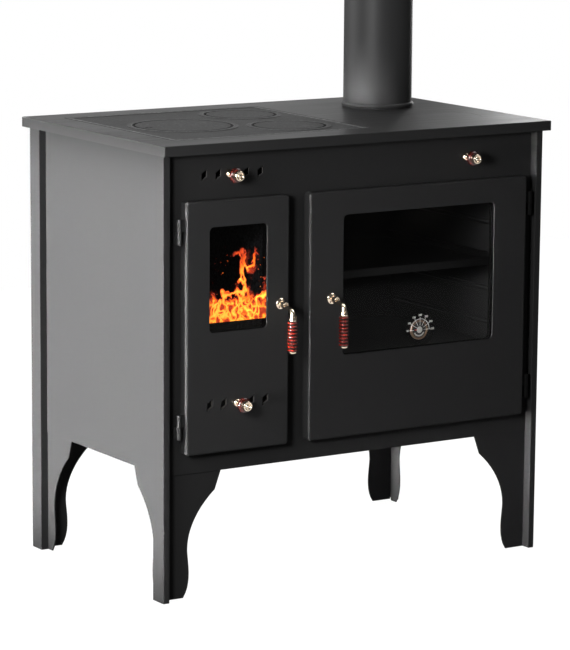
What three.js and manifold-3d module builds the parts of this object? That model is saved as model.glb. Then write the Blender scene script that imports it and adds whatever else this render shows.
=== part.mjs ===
// Wood-burning cookstove: sheet-steel casing on legs, cast hotplate, firebox door, oven door, air slides and damper.
// Millimetres, +Z up, the front faces -Y. Sizes are set in the casing's frame: its front left corner is x 0, y 0.
import * as THREE from 'three';
import { mergeVertices } from 'three/addons/utils/BufferGeometryUtils.js';
import Module from 'manifold-3d';

const wasm = await Module();
wasm.setup();

// General fits
const clearance = 0.3;
const overrun = 12;
const sheet = 2;
const turnedSides = 16;
const pinSides = 12;
const lidSides = 40;
const cornerSegments = 3;
const gaugeSides = 28;

// Casing and its corner posts
const caseWidth = 848;
const caseDepth = 513;
const hobHeight = 850;
const postSheet = 2.5;
const frontBeadWidth = 13;
const sideBeadWidth = 38;
const frontRecess = 18;
const sideRecess = 13;
const creaseWidth = 2;
const frontWingWidth = 30;
const sideWingWidth = 60;
const skirtHeight = 235;
const panelFoldWidth = 12;

// Legs, cut out of the lower ends of the posts
const legTopWidth = 135;
const legWingRise = 33;
const legFootWidthShare = 0.4;
const legBulgeWidthShare = 0.556;
const legBulgeFootShare = 0.12;
const legBulgeTopShare = 0.3;
const legNeckWidthShare = 0.467;
const legNeckHeightShare = 0.391;
const legShoulderWidthShare = 0.904;
const legShoulderHeightShare = 0.847;
const legHollowWidthShare = 0.37;
const legHollowUpperShare = 0.71;
const legHollowLowerShare = 0.35;
const legCurveSteps = 10;

// Hob
const hobEdgeHeight = 19;
const hobSheet = 4;
const hobRimSheet = 3;
const hobSideOverhang = 8;
const hobFrontOverhang = 17;
const hobBackOverhang = 18;
const ledgeWidth = 10;
const ledgeSheet = 4;

// Cast hotplate and its lids, measured from the casing's front left corner
const plateLeft = 52;
const plateFront = 52;
const plateWidth = 432;
const plateBackMargin = 41;
const plateThickness = 8;
const collarWidth = 12;
const collarRise = 1;
const lidLip = 7;
const lidFlange = 4.5;
const largeLidBorder = 45;
const largeLidForward = 6;
const rearLidSideBorder = 30.5;
const rearLidBackBorder = 38.5;
const rightLidFrontBorder = 42.5;
const rightLidShift = 14;
const lidGapAcross = 29.5;
const smallLidGap = 61;
const notchLength = 16;
const notchWidth = 7;
const notchDepth = 4;
const notchInset = 12;
const cleaningLidFromRight = 129;
const cleaningLidFromFront = 148;
const cleaningLidRadius = 72;

// Flue pipe and flue box
const pipeFromRight = 144;
const pipeFromBack = 153;
const pipeRadius = 68.5;
const pipeWall = 2;
const pipeHeight = 250;
const pipeDrop = 40;
const pipeBeadRise = 3.5;
const pipeBeadHeight = 9;
const pipeBeadBase = 1.5;
const flueBoxMargin = 15;
const flueWindowWidth = 88;
const flueWindowHeight = 70;
const flueWindowSill = 22;
const damperOverlap = 8;

// Doors
const doorProud = 5;
const doorSealGap = 2;
const doorSheet = 3;
const doorEdgeRound = 4;
const doorCornerRadius = 3;
const railHeight = 39;
const headHeight = 87;
const fireDoorLeft = 45;
const fireDoorWidth = 222;
const doorGap = 44;
const ovenDoorFromRight = 38;
const glassThickness = 4;
const glassOverlap = 12;
const glassCornerRadius = 9;
const linerSheet = 2;
const linerFrameWidth = 9;
const ropeRadius = 2.7;
const ropeInset = 6;

// Windows, measured from the edges of their doors
const fireWindowMargin = 49;
const fireWindowSill = 225;
const ovenWindowLeft = 75;
const ovenWindowRight = 77;
const ovenWindowTop = 46;
const ovenWindowSill = 157;

// Openings of the front frame behind the doors, measured from the edges of the doors
const fireOpeningMargin = 12;
const ovenOpeningSide = 14;
const ovenOpeningTop = 32;
const ovenOpeningBottom = 132;

// Hinges
const hingeOffset = 11;
const hingeAxisY = 2;
const hingeRadius = 4.75;
const hingeLength = 47;
const hingeInset = 31;
const hingeLeaf = 4;
const pinRadius = 2.5;

// Firebox
const fireShellLeftMargin = 25;
const fireShellRightMargin = 43;
const fireShellBackGap = 42.7;
const fireShellFloorRise = 4;
const fireShellHeadroom = 24;
const fireShellSheet = 3;
const smokeSillRise = 4;
const grateRise = 131;
const grateThickness = 15;
const grateSlotWidth = 9;
const grateSlotPitch = 22;
const grateBorder = 18;
const fireplateThickness = 25;
const fireplateDrop = 22;
const fireplateSetback = 14;
const ledgeInset = 10;
const ashPanSideGap = 35;
const ashPanFrontGap = 20;
const ashPanHeight = 70;
const ashPanBackGap = 50;
const ashPanLip = 12;

// Oven
const ovenSideLip = 14;
const ovenTopLip = 6;
const ovenBackGap = 52.7;
const ovenRunnerRise = 40;
const ovenRunnerHeadroom = 80;
const ovenRunnerCount = 4;
const ovenRunnerDepth = 8;
const ovenRunnerWidth = 10;
const ovenRunnerInset = 20;
const trayRunner = 2;
const trayHeight = 15;
const trayFlange = 10;
const traySetback = 40;

// Air slides
const slotPitch = 30;
const slotWidth = 12;
const slotHeight = 14;
const slotRise = 7;
const slotsEachSide = 2;
const slideTravel = 15;
const slidePlateMargin = 10;
const slidePlateHeight = 30;
const upperAirRise = 44;
const lowerAirRise = 91;
const upperStemBack = 9;
const lowerStemBack = 4;

// Knobs of the slides and of the damper
const knobReach = 43;
const knobStemRadius = 4;
const knobStudRadius = 3;
const knobNutRadius = 5.5;
const knobNutThickness = 3;
const knobRingRadius = 14.2;
const knobRingThickness = 10;
const knobRingRound = 4;
const knobCapRadius = 9.5;
const knobCapThickness = 9;
const knobCapRim = 2;
const knobCapDish = 2.5;
const knobCollarRadius = 7;
const knobCollarThickness = 3;
const damperFromPipe = 27;
const damperRise = 43;

// Latch handles
const fireHandleInset = 20;
const ovenHandleInset = 49;
const handleHeightShare = 0.57;
const rosetteRadius = 10;
const rosetteThickness = 4;
const spindleRadius = 4.5;
const armRootRadius = 4;
const armEndRadius = 6.5;
const armDrop = 5;
const armRunShare = 0.84;
const armTurnShare = 0.23;
const bossRadius = 5.6;
const bossReach = 20;
const bossHoleRadius = 3;
const bossHoleDepth = 3;
const gripStandoff = 43;
const ferruleTop = 18;
const ferruleHeight = 8;
const ferruleRadius = 7.3;
const gripLength = 57.5;
const gripRadius = 9.8;
const gripGrooveRadius = 8.2;
const gripRibs = 9;
const gripCoreRadius = 4.3;
const gripCapRadius = 7.5;
const gripCapHeight = 4;
const ribShares = [0.2, 0.5, 0.8];
const tongueThickness = 5;
const tongueWidth = 10;
const tongueGap = 2;
const tongueCatch = 12;

// Oven thermometer, in the middle of the oven window, measured from its lower edge
const gaugeFromBottom = 34;
const gaugeRadius = 19;
const gaugeRim = 2;
const gaugeDepth = 7;
const gaugeDish = 2.2;
const gaugeStemRadius = 5;
const gaugeNutRadius = 8;
const gaugeNutThickness = 4;
const pointerLength = 13;
const pointerWidth = 2.4;
const pointerHubRadius = 3;
const pointerThickness = 0.8;

// Places that follow from the sizes
const frameFront = frontRecess;
const frameBack = frameFront + sheet;
const wingFront = frameBack + clearance;
const wingBack = wingFront + postSheet;
const hobUnderside = hobHeight - hobSheet;
const postTop = hobUnderside - clearance;
const frameLeft = frontBeadWidth + creaseWidth;
const frameRight = caseWidth - frameLeft;
const doorFront = -doorProud;
const doorBack = frameFront - doorSealGap;
const doorBottom = skirtHeight + railHeight;
const doorTop = hobHeight - hobEdgeHeight - headHeight;
const handleHeight = doorBottom + (doorTop - doorBottom) * handleHeightShare;
const fireDoorRight = fireDoorLeft + fireDoorWidth;
const ovenDoorLeft = fireDoorRight + doorGap;
const ovenDoorRight = caseWidth - ovenDoorFromRight;
const glassFront = doorFront + doorSheet + clearance;
const glassBack = glassFront + glassThickness;
const linerBack = frameFront - clearance - 2 * ropeRadius - clearance;
const linerFront = linerBack - linerSheet;
const tongueFront = frameBack + tongueGap;
const tongueBack = tongueFront + tongueThickness;

const fireOpening = {
  left: fireDoorLeft + fireOpeningMargin,
  right: fireDoorRight - fireOpeningMargin,
  bottom: doorBottom + fireOpeningMargin,
  top: doorTop - fireOpeningMargin,
};
const ovenOpening = {
  left: ovenDoorLeft + ovenOpeningSide,
  right: ovenDoorRight - ovenOpeningSide,
  bottom: doorBottom + ovenOpeningBottom,
  top: doorTop - ovenOpeningTop,
};
const fireWindow = {
  left: fireDoorLeft + fireWindowMargin,
  right: fireDoorRight - fireWindowMargin,
  bottom: doorBottom + fireWindowSill,
  top: doorTop - fireWindowMargin,
};
const ovenWindow = {
  left: ovenDoorLeft + ovenWindowLeft,
  right: ovenDoorRight - ovenWindowRight,
  bottom: doorBottom + ovenWindowSill,
  top: doorTop - ovenWindowTop,
};
const airCentre = fireDoorLeft + fireDoorWidth / 2;
const upperAirHeight = doorTop + upperAirRise;
const lowerAirHeight = doorBottom + lowerAirRise;
const upperStemX = airCentre - upperStemBack;
const lowerStemX = airCentre - lowerStemBack;
const pipeX = caseWidth - pipeFromRight;
const pipeY = caseDepth - pipeFromBack;
const damperX = pipeX - damperFromPipe;
const damperHeight = doorTop + damperRise;
const cleaningLidX = caseWidth - cleaningLidFromRight;
const cleaningLidY = cleaningLidFromFront;

// Two small lids share the depth of the hotplate, and the large lid takes the width that they leave
const plateDepth = caseDepth - plateFront - plateBackMargin;
const plateRight = plateLeft + plateWidth;
const plateBack = plateFront + plateDepth;
const smallLidRadius = (plateDepth - rightLidFrontBorder - smallLidGap - rearLidBackBorder) / 4;
const lidColumn = lidGapAcross + 2 * smallLidRadius + rearLidSideBorder;
const largeLidRadius = (plateWidth - largeLidBorder - lidColumn) / 2;
const largeLidX = plateLeft + largeLidBorder + largeLidRadius;
const largeLidY = plateFront + plateDepth / 2 - largeLidForward;
const rearLidX = plateRight - rearLidSideBorder - smallLidRadius;
const rearLidY = plateBack - rearLidBackBorder - smallLidRadius;
const rightLidX = rearLidX - rightLidShift;
const rightLidY = plateFront + rightLidFrontBorder + smallLidRadius;

// A box between two corners
function block(x0, x1, y0, y1, z0, z1) {
  const geometry = new THREE.BoxGeometry(x1 - x0, y1 - y0, z1 - z0);
  return geometry.translate((x0 + x1) / 2, (y0 + y1) / 2, (z0 + z1) / 2);
}

// A plate between two planes, cut out along a rectangle in x and z
function upright(area, y0, y1) {
  return block(area.left, area.right, y0, y1, area.bottom, area.top);
}

// A rectangle grown by the same amount on its four sides
function grown(area, by) {
  return { left: area.left - by, right: area.right + by, bottom: area.bottom - by, top: area.top + by };
}

// An outline in x and z, pushed along y
function alongY(shape, y0, y1, options = {}) {
  const geometry = new THREE.ExtrudeGeometry(shape, { depth: y1 - y0, bevelEnabled: false, ...options });
  return geometry.rotateX(Math.PI / 2).translate(0, y1, 0);
}

// An outline in y and z, pushed along x
function alongX(shape, x0, x1) {
  const geometry = new THREE.ExtrudeGeometry(shape, { depth: x1 - x0, bevelEnabled: false });
  const turn = new THREE.Matrix4().makeBasis(
    new THREE.Vector3(0, 1, 0),
    new THREE.Vector3(0, 0, 1),
    new THREE.Vector3(1, 0, 0),
  );
  return geometry.applyMatrix4(turn).translate(x0, 0, 0);
}

// An outline in x and y, pushed along z
function alongZ(shape, z0, z1) {
  return new THREE.ExtrudeGeometry(shape, { depth: z1 - z0, bevelEnabled: false }).translate(0, 0, z0);
}

function outline(points) {
  return new THREE.Shape(points.map(([x, y]) => new THREE.Vector2(x, y)));
}

function roundedRectangle(area, radius) {
  const shape = new THREE.Shape();
  const { left, right, bottom, top } = area;
  shape.absarc(right - radius, bottom + radius, radius, -Math.PI / 2, 0);
  shape.absarc(right - radius, top - radius, radius, 0, Math.PI / 2);
  shape.absarc(left + radius, top - radius, radius, Math.PI / 2, Math.PI);
  shape.absarc(left + radius, bottom + radius, radius, Math.PI, Math.PI * 1.5);
  return new THREE.Shape(shape.getPoints(cornerSegments));
}

// A profile of [radius, height] points turned about the z axis
function turned(points, sides = turnedSides) {
  const profile = points.map(([radius, height]) => new THREE.Vector2(radius, height));
  return new THREE.LatheGeometry(profile, sides).rotateX(Math.PI / 2);
}

// The same about the y axis: heights count towards the back
function turnedAlongY(points, sides = turnedSides) {
  return turned(points, sides).rotateX(-Math.PI / 2);
}

function rod(radius, z0, z1, sides = turnedSides) {
  return turned([[0, z0], [radius, z0], [radius, z1], [0, z1]], sides);
}

function rodAlongY(radius, y0, y1, sides = turnedSides) {
  return turnedAlongY([[0, y0], [radius, y0], [radius, y1], [0, y1]], sides);
}

// Six times the volume that the triangles enclose, negative where they face in
function enclosed(positions, triangles) {
  const [a, b, c] = [new THREE.Vector3(), new THREE.Vector3(), new THREE.Vector3()];
  let sum = 0;
  for (let i = 0; i < triangles.length; i += 3) {
    a.fromArray(positions, 3 * triangles[i]);
    b.fromArray(positions, 3 * triangles[i + 1]);
    c.fromArray(positions, 3 * triangles[i + 2]);
    sum += a.dot(b.cross(c));
  }
  return sum;
}

// A solid for joining and cutting, with its faces pointing out
function solidOf(geometry) {
  const bare = geometry.clone();
  bare.deleteAttribute('normal');
  bare.deleteAttribute('uv');
  const merged = mergeVertices(bare);
  const positions = Float32Array.from(merged.attributes.position.array);
  const triangles = [];
  for (let i = 0; i < merged.index.count; i += 3) {
    const [a, b, c] = [0, 1, 2].map((corner) => merged.index.getX(i + corner));
    if (a !== b && b !== c && c !== a) {
      triangles.push(a, b, c);
    }
  }
  if (enclosed(positions, triangles) < 0) {
    triangles.reverse();
  }
  const mesh = new wasm.Mesh({ numProp: 3, vertProperties: positions, triVerts: Uint32Array.from(triangles) });
  return new wasm.Manifold(mesh);
}

function geometryOf(solid) {
  const mesh = solid.getMesh();
  const geometry = new THREE.BufferGeometry();
  geometry.setAttribute('position', new THREE.BufferAttribute(mesh.vertProperties, mesh.numProp));
  geometry.setIndex(new THREE.BufferAttribute(mesh.triVerts, 1));
  return geometry;
}

function joined(first, ...others) {
  return geometryOf(others.reduce((solid, geometry) => solid.add(solidOf(geometry)), solidOf(first)));
}

function cut(first, ...tools) {
  return geometryOf(tools.reduce((solid, tool) => solid.subtract(solidOf(tool)), solidOf(first)));
}

// The same piece seen in a mirror that stands square to x or y
function mirrored(geometry, acrossX, acrossY) {
  return geometry.clone().scale(acrossX ? -1 : 1, acrossY ? -1 : 1, 1);
}

function moved(geometry, x, y, z) {
  return geometry.clone().translate(x, y, z);
}

const finishes = {
  casing: { color: 0x3a3b3d, roughness: 0.55, metalness: 0.3 },
  hobSteel: { color: 0x4a4b4d, roughness: 0.45, metalness: 0.6 },
  castIron: { color: 0x2c2d2e, roughness: 0.75, metalness: 0.4 },
  pipe: { color: 0x3d3e40, roughness: 0.6, metalness: 0.3 },
  nickel: { color: 0xb9bcc0, roughness: 0.18, metalness: 1 },
  redBrown: { color: 0x6a1f12, roughness: 0.25, metalness: 0 },
  glass: { color: 0x0b0c0d, roughness: 0.05, metalness: 0 },
  rope: { color: 0x4d4a45, roughness: 0.95, metalness: 0 },
  steel: { color: 0x55575a, roughness: 0.5, metalness: 0.8 },
  enamel: { color: 0x1d1e20, roughness: 0.3, metalness: 0.1 },
  copper: { color: 0xa65f3a, roughness: 0.3, metalness: 0.9 },
  pointer: { color: 0xb01818, roughness: 0.4, metalness: 0 },
};

function piece(group, name, geometry, finish) {
  const facing = geometryOf(solidOf(geometry));
  facing.computeVertexNormals();
  const mesh = new THREE.Mesh(facing, new THREE.MeshStandardMaterial(finishes[finish]));
  mesh.name = name;
  group.add(mesh);
  return mesh;
}

// What is taken off a post's wing, in distance from the casing's corner and height
function legCutOutline(upperWingWidth) {
  const wingTop = skirtHeight + legWingRise;
  const footWidth = legTopWidth * legFootWidthShare;
  const neckWidth = legTopWidth * legNeckWidthShare;
  const neckHeight = skirtHeight * legNeckHeightShare;
  const shoulderWidth = legTopWidth * legShoulderWidthShare;
  const shoulderHeight = skirtHeight * legShoulderHeightShare;
  const hollowWidth = shoulderWidth - neckWidth;
  const hollowHeight = shoulderHeight - neckHeight;
  const shape = new THREE.Shape();
  shape.moveTo(footWidth, -overrun);
  shape.lineTo(footWidth, 0);
  shape.bezierCurveTo(
    legTopWidth * legBulgeWidthShare, skirtHeight * legBulgeFootShare,
    neckWidth, skirtHeight * legBulgeTopShare,
    neckWidth, neckHeight,
  );
  shape.bezierCurveTo(
    neckWidth, neckHeight + hollowHeight * legHollowLowerShare,
    neckWidth + hollowWidth * legHollowWidthShare, neckHeight + hollowHeight * legHollowUpperShare,
    shoulderWidth, shoulderHeight,
  );
  shape.lineTo(legTopWidth, skirtHeight);
  shape.lineTo(legTopWidth, wingTop);
  shape.lineTo(upperWingWidth, wingTop);
  shape.lineTo(upperWingWidth, postTop + overrun);
  shape.lineTo(legTopWidth + overrun, postTop + overrun);
  shape.lineTo(legTopWidth + overrun, -overrun);
  return new THREE.Shape(shape.getPoints(legCurveSteps));
}

// One folded post: two beads at the corner, two returns, and two wings that end below in the leg
function cornerPost() {
  const sideWing = sideRecess + sheet + clearance;
  const section = outline([
    [legTopWidth, wingFront],
    [frontBeadWidth, wingFront],
    [frontBeadWidth, 0],
    [0, 0],
    [0, sideBeadWidth],
    [sideWing, sideBeadWidth],
    [sideWing, legTopWidth],
    [sideWing + postSheet, legTopWidth],
    [sideWing + postSheet, sideBeadWidth - postSheet],
    [postSheet, sideBeadWidth - postSheet],
    [postSheet, postSheet],
    [frontBeadWidth - postSheet, postSheet],
    [frontBeadWidth - postSheet, wingBack],
    [legTopWidth, wingBack],
  ]);
  return cut(
    alongZ(section, 0, postTop),
    alongY(legCutOutline(frontWingWidth), 0, wingBack + postSheet),
    alongX(legCutOutline(sideWingWidth), 0, sideWing + 2 * postSheet),
  );
}

function makeCasing() {
  const group = new THREE.Group();
  const post = cornerPost();
  for (const [side, acrossX] of [['left', false], ['right', true]]) {
    for (const [end, acrossY] of [['front', false], ['rear', true]]) {
      const copy = moved(mirrored(post, acrossX, acrossY), acrossX ? caseWidth : 0, acrossY ? caseDepth : 0, 0);
      piece(group, `post_${end}_${side}`, copy, 'casing');
    }
  }
  const panelFront = sideBeadWidth + creaseWidth;
  const panelBack = caseDepth - panelFront;
  const foldFront = legTopWidth + creaseWidth;
  const foldBack = caseDepth - foldFront;
  const panel = joined(
    block(sideRecess, sideRecess + sheet, panelFront, panelBack, skirtHeight, postTop),
    block(sideRecess, sideRecess + panelFoldWidth, foldFront, foldBack, skirtHeight, skirtHeight + sheet),
    block(sideRecess, sideRecess + panelFoldWidth, foldFront, foldBack, postTop - sheet, postTop),
  );
  piece(group, 'side_panel_left', panel, 'casing');
  piece(group, 'side_panel_right', moved(mirrored(panel, true, false), caseWidth, 0, 0), 'casing');

  const backOuter = caseDepth - frontRecess;
  const backInner = backOuter - sheet;
  const backLeft = frameLeft + legTopWidth;
  const back = joined(
    block(frameLeft, frameRight, backInner, backOuter, skirtHeight, postTop),
    block(backLeft, caseWidth - backLeft, backOuter - panelFoldWidth, backOuter, skirtHeight, skirtHeight + sheet),
  );
  piece(group, 'back_panel', back, 'casing');

  const front = cut(
    block(frameLeft, frameRight, frameFront, frameBack, skirtHeight, postTop),
    upright(fireOpening, frameFront - overrun, frameBack + overrun),
    upright(ovenOpening, frameFront - overrun, frameBack + overrun),
    ...airSlots(upperAirHeight, upperStemX, frameFront, frameBack),
    moved(rodAlongY(knobStemRadius + clearance, frameFront - overrun, frameBack + overrun), damperX, 0, damperHeight),
  );
  piece(group, 'front_frame', front, 'casing');

  const trayLeft = sideRecess + sheet + clearance + postSheet + clearance;
  const trayFront = wingBack + clearance;
  const trayBottom = skirtHeight + panelFoldWidth;
  const baseTray = cut(
    block(trayLeft, caseWidth - trayLeft, trayFront, caseDepth - trayFront, trayBottom, trayBottom + panelFoldWidth),
    block(
      trayLeft + sheet,
      caseWidth - trayLeft - sheet,
      trayFront + sheet,
      caseDepth - trayFront - sheet,
      trayBottom + sheet,
      trayBottom + panelFoldWidth + overrun,
    ),
  );
  piece(group, 'base_tray', baseTray, 'steel');
  return group;
}

// Leaning air slots on both sides of the stem, and the straight slot that the stem runs in
function airSlots(height, stemX, y0, y1) {
  const halfWidth = slotWidth / 2;
  const halfHeight = slotHeight / 2;
  const halfRise = slotRise / 2;
  const tools = [];
  for (let place = -slotsEachSide; place <= slotsEachSide; place += 1) {
    if (place !== 0) {
      const x = airCentre + place * slotPitch;
      const slot = outline([
        [x - halfWidth, height - halfHeight - halfRise],
        [x + halfWidth, height - halfHeight + halfRise],
        [x + halfWidth, height + halfHeight + halfRise],
        [x - halfWidth, height + halfHeight - halfRise],
      ]);
      tools.push(alongY(slot, y0 - overrun, y1 + overrun));
    }
  }
  const stemRoom = knobStemRadius + clearance;
  const run = {
    left: stemX - stemRoom,
    right: stemX + slideTravel + stemRoom,
    bottom: height - stemRoom,
    top: height + stemRoom,
  };
  tools.push(alongY(roundedRectangle(run, stemRoom), y0 - overrun, y1 + overrun));
  return tools;
}

// The plate behind a row of air slots, with windows that stand behind the slots when it is open
function slidePlate(height, stemX, y0) {
  const half = slotPitch * slotsEachSide + slotWidth / 2 + slidePlateMargin;
  const plate = {
    left: airCentre - half,
    right: airCentre + half,
    bottom: height - slidePlateHeight / 2,
    top: height + slidePlateHeight / 2,
  };
  const windows = airSlots(height, stemX, y0, y0 + sheet).slice(0, -1);
  const hole = moved(rodAlongY(knobStudRadius + clearance, y0 - overrun, y0 + sheet + overrun), stemX, 0, height);
  return cut(upright(plate, y0, y0 + sheet), ...windows, hole);
}

// A knob's stem with its collar and dished cap. The panel's face is y 0, and a nut holds the plate at plateFront.
function knobStem(plateFront) {
  const capBack = -knobReach + knobCapThickness;
  const ringBack = capBack + knobRingThickness + clearance;
  const studStart = plateFront - clearance;
  const nutFront = plateFront + sheet + clearance;
  return turnedAlongY([
    [0, nutFront + knobNutThickness],
    [knobNutRadius, nutFront + knobNutThickness],
    [knobNutRadius, nutFront],
    [knobStudRadius, nutFront],
    [knobStudRadius, studStart],
    [knobStemRadius, studStart],
    [knobStemRadius, ringBack + knobCollarThickness],
    [knobCollarRadius, ringBack + knobCollarThickness],
    [knobCollarRadius, ringBack + clearance],
    [knobStemRadius, ringBack + clearance],
    [knobStemRadius, capBack],
    [knobCapRadius, capBack],
    [knobCapRadius, -knobReach + knobCapRim],
    [knobCapRadius - knobCapRim, -knobReach],
    [knobCapRadius - 2 * knobCapRim, -knobReach],
    [knobStemRadius, -knobReach + knobCapDish],
    [0, -knobReach + knobCapDish],
  ]);
}

// The ring that the fingers hold, between the collar and the cap
function knobRing() {
  const ringFront = -knobReach + knobCapThickness + clearance;
  const section = {
    left: knobStemRadius + clearance,
    right: knobRingRadius,
    bottom: ringFront,
    top: ringFront + knobRingThickness - clearance,
  };
  const inner = knobStemRadius + clearance;
  const round = knobRingRound;
  const profile = new THREE.Shape();
  profile.moveTo(inner, section.bottom);
  profile.absarc(section.right - round, section.bottom + round, round, -Math.PI / 2, 0);
  profile.absarc(section.right - round, section.top - round, round, 0, Math.PI / 2);
  profile.lineTo(inner, section.top);
  const points = profile.getPoints(2).map((point) => [point.x, point.y]);
  return turnedAlongY([...points, points[0]]);
}

function addKnob(group, prefix, x, y, z, plateFront) {
  const knob = new THREE.Group();
  knob.position.set(x, y, z);
  piece(knob, `${prefix}_knob`, knobStem(plateFront - y), 'nickel');
  piece(knob, `${prefix}_knob_ring`, knobRing(), 'redBrown');
  group.add(knob);
}

function makeUpperAirSlide() {
  const group = new THREE.Group();
  const plateFront = frameBack + clearance;
  piece(group, 'upper_air_plate', slidePlate(upperAirHeight, upperStemX, plateFront), 'steel');
  addKnob(group, 'upper_air', upperStemX, frameFront, upperAirHeight, plateFront);
  return group;
}

function makeLowerAirSlide() {
  const group = new THREE.Group();
  const plateFront = doorFront + doorSheet + clearance;
  piece(group, 'lower_air_plate', slidePlate(lowerAirHeight, lowerStemX, plateFront), 'steel');
  addKnob(group, 'lower_air', lowerStemX, doorFront, lowerAirHeight, plateFront);
  return group;
}

// The hob's folded sheet, with ledges under the hotplate and the cleaning lid
function hobSheetBody() {
  const left = -hobSideOverhang;
  const right = caseWidth + hobSideOverhang;
  const front = -hobFrontOverhang;
  const back = caseDepth + hobBackOverhang;
  const rimBottom = hobHeight - hobEdgeHeight;
  const pan = cut(
    block(left, right, front, back, rimBottom, hobHeight),
    block(
      left + hobRimSheet,
      right - hobRimSheet,
      front + hobRimSheet,
      back - hobRimSheet,
      rimBottom - overrun,
      hobUnderside,
    ),
  );
  const ledgeTop = hobHeight - plateThickness - clearance;
  const ledgeBottom = ledgeTop - ledgeSheet;
  const plateLedge = block(
    plateLeft - ledgeWidth,
    plateRight + ledgeWidth,
    plateFront - ledgeWidth,
    plateBack + ledgeWidth,
    ledgeBottom,
    hobHeight,
  );
  const plateSeat = block(
    plateLeft - clearance,
    plateRight + clearance,
    plateFront - clearance,
    plateBack + clearance,
    ledgeTop,
    hobHeight + overrun,
  );
  const plateHole = block(
    plateLeft + ledgeWidth,
    plateRight - ledgeWidth,
    plateFront + ledgeWidth,
    plateBack - ledgeWidth,
    rimBottom - overrun,
    hobHeight + overrun,
  );
  const lidLedgeTop = hobUnderside;
  const lidLedge = rod(cleaningLidRadius + ledgeWidth, lidLedgeTop - ledgeSheet, hobHeight, lidSides);
  const lidSeat = rod(cleaningLidRadius + clearance, lidLedgeTop, hobHeight + overrun, lidSides);
  const lidHole = rod(cleaningLidRadius - ledgeWidth, rimBottom, hobHeight + overrun, lidSides);
  const pipeHole = rod(pipeRadius + clearance, rimBottom, hobHeight + overrun, lidSides);
  return cut(
    joined(pan, plateLedge, moved(lidLedge, cleaningLidX, cleaningLidY, 0)),
    plateSeat,
    plateHole,
    moved(lidSeat, cleaningLidX, cleaningLidY, 0),
    moved(lidHole, cleaningLidX, cleaningLidY, 0),
    moved(pipeHole, pipeX, pipeY, 0),
  );
}

const hotplateLids = [
  { name: 'lid_large', x: largeLidX, y: largeLidY, radius: largeLidRadius, notched: true },
  { name: 'lid_rear', x: rearLidX, y: rearLidY, radius: smallLidRadius, notched: false },
  { name: 'lid_right', x: rightLidX, y: rightLidY, radius: smallLidRadius, notched: false },
];

// The cast plate: a raised machined collar round each lid, and a raised border
function hotplate() {
  const plateBottom = hobHeight - plateThickness;
  const field = hobHeight - collarRise;
  const border = cut(
    block(plateLeft, plateRight, plateFront, plateBack, plateBottom, hobHeight),
    block(
      plateLeft + collarWidth,
      plateRight - collarWidth,
      plateFront + collarWidth,
      plateBack - collarWidth,
      field,
      hobHeight + overrun,
    ),
  );
  const collars = hotplateLids.map((lid) =>
    moved(rod(lid.radius + collarWidth, plateBottom, hobHeight, lidSides), lid.x, lid.y, 0));
  const seats = hotplateLids.map((lid) =>
    moved(rod(lid.radius + clearance, hobHeight - lidFlange - clearance, hobHeight + overrun, lidSides), lid.x, lid.y, 0));
  const holes = hotplateLids.map((lid) =>
    moved(rod(lid.radius - lidLip + clearance, plateBottom - overrun, hobHeight, lidSides), lid.x, lid.y, 0));
  return cut(joined(border, ...collars), ...seats, ...holes);
}

function lidDisc(radius, notched) {
  const disc = turned([
    [0, -plateThickness],
    [radius - lidLip, -plateThickness],
    [radius - lidLip, -lidFlange],
    [radius, -lidFlange],
    [radius, 0],
    [0, 0],
  ], lidSides);
  if (!notched) {
    return disc;
  }
  const notchRight = -radius + notchInset + notchLength;
  return cut(disc, block(-radius + notchInset, notchRight, -notchWidth / 2, notchWidth / 2, -notchDepth, overrun));
}

function makeHob() {
  const group = new THREE.Group();
  piece(group, 'hob_top', hobSheetBody(), 'hobSteel');
  piece(group, 'hotplate', hotplate(), 'castIron');
  for (const lid of hotplateLids) {
    const mesh = piece(group, lid.name, lidDisc(lid.radius, lid.notched), 'castIron');
    mesh.position.set(lid.x, lid.y, hobHeight);
  }
  const cleaningLid = rod(cleaningLidRadius, hobUnderside + clearance, hobHeight, lidSides);
  piece(group, 'cleaning_lid', moved(cleaningLid, cleaningLidX, cleaningLidY, 0), 'hobSteel');

  const inner = pipeRadius - pipeWall;
  const beadMiddle = pipeBeadBase + pipeBeadHeight / 2;
  const pipe = turned([
    [inner, -pipeDrop],
    [pipeRadius, -pipeDrop],
    [pipeRadius, pipeBeadBase],
    [pipeRadius + pipeBeadRise, beadMiddle - pipeBeadHeight / 4],
    [pipeRadius + pipeBeadRise, beadMiddle + pipeBeadHeight / 4],
    [pipeRadius, pipeBeadBase + pipeBeadHeight],
    [pipeRadius, pipeHeight],
    [inner, pipeHeight],
    [inner, -pipeDrop],
  ], lidSides);
  piece(group, 'flue_pipe', pipe, 'pipe').position.set(pipeX, pipeY, hobHeight);
  return group;
}

const fireShell = {
  left: fireOpening.left - fireShellLeftMargin,
  right: fireOpening.right + fireShellRightMargin,
  bottom: fireOpening.bottom + fireShellFloorRise,
  top: hobHeight - fireShellHeadroom,
};
const ovenCavity = {
  left: ovenOpening.left - ovenSideLip,
  right: ovenOpening.right + ovenSideLip,
  bottom: ovenOpening.bottom - ovenTopLip,
  top: ovenOpening.top + ovenTopLip,
};
const shellFront = frameBack + clearance;
const fireShellBack = caseDepth - fireShellBackGap;
const ovenBack = caseDepth - ovenBackGap;
const smokeSill = ovenCavity.top + smokeSillRise;
const grateHeight = doorBottom + grateRise;
const grateTop = grateHeight + grateThickness;
const fireplateTop = smokeSill - fireplateDrop;
const runnerSpan = ovenCavity.top - ovenRunnerHeadroom - ovenCavity.bottom - ovenRunnerRise;
const ovenRunnerPitch = runnerSpan / (ovenRunnerCount - 1);
const ovenRunnerHeight = ovenCavity.bottom + ovenRunnerRise;

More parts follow.
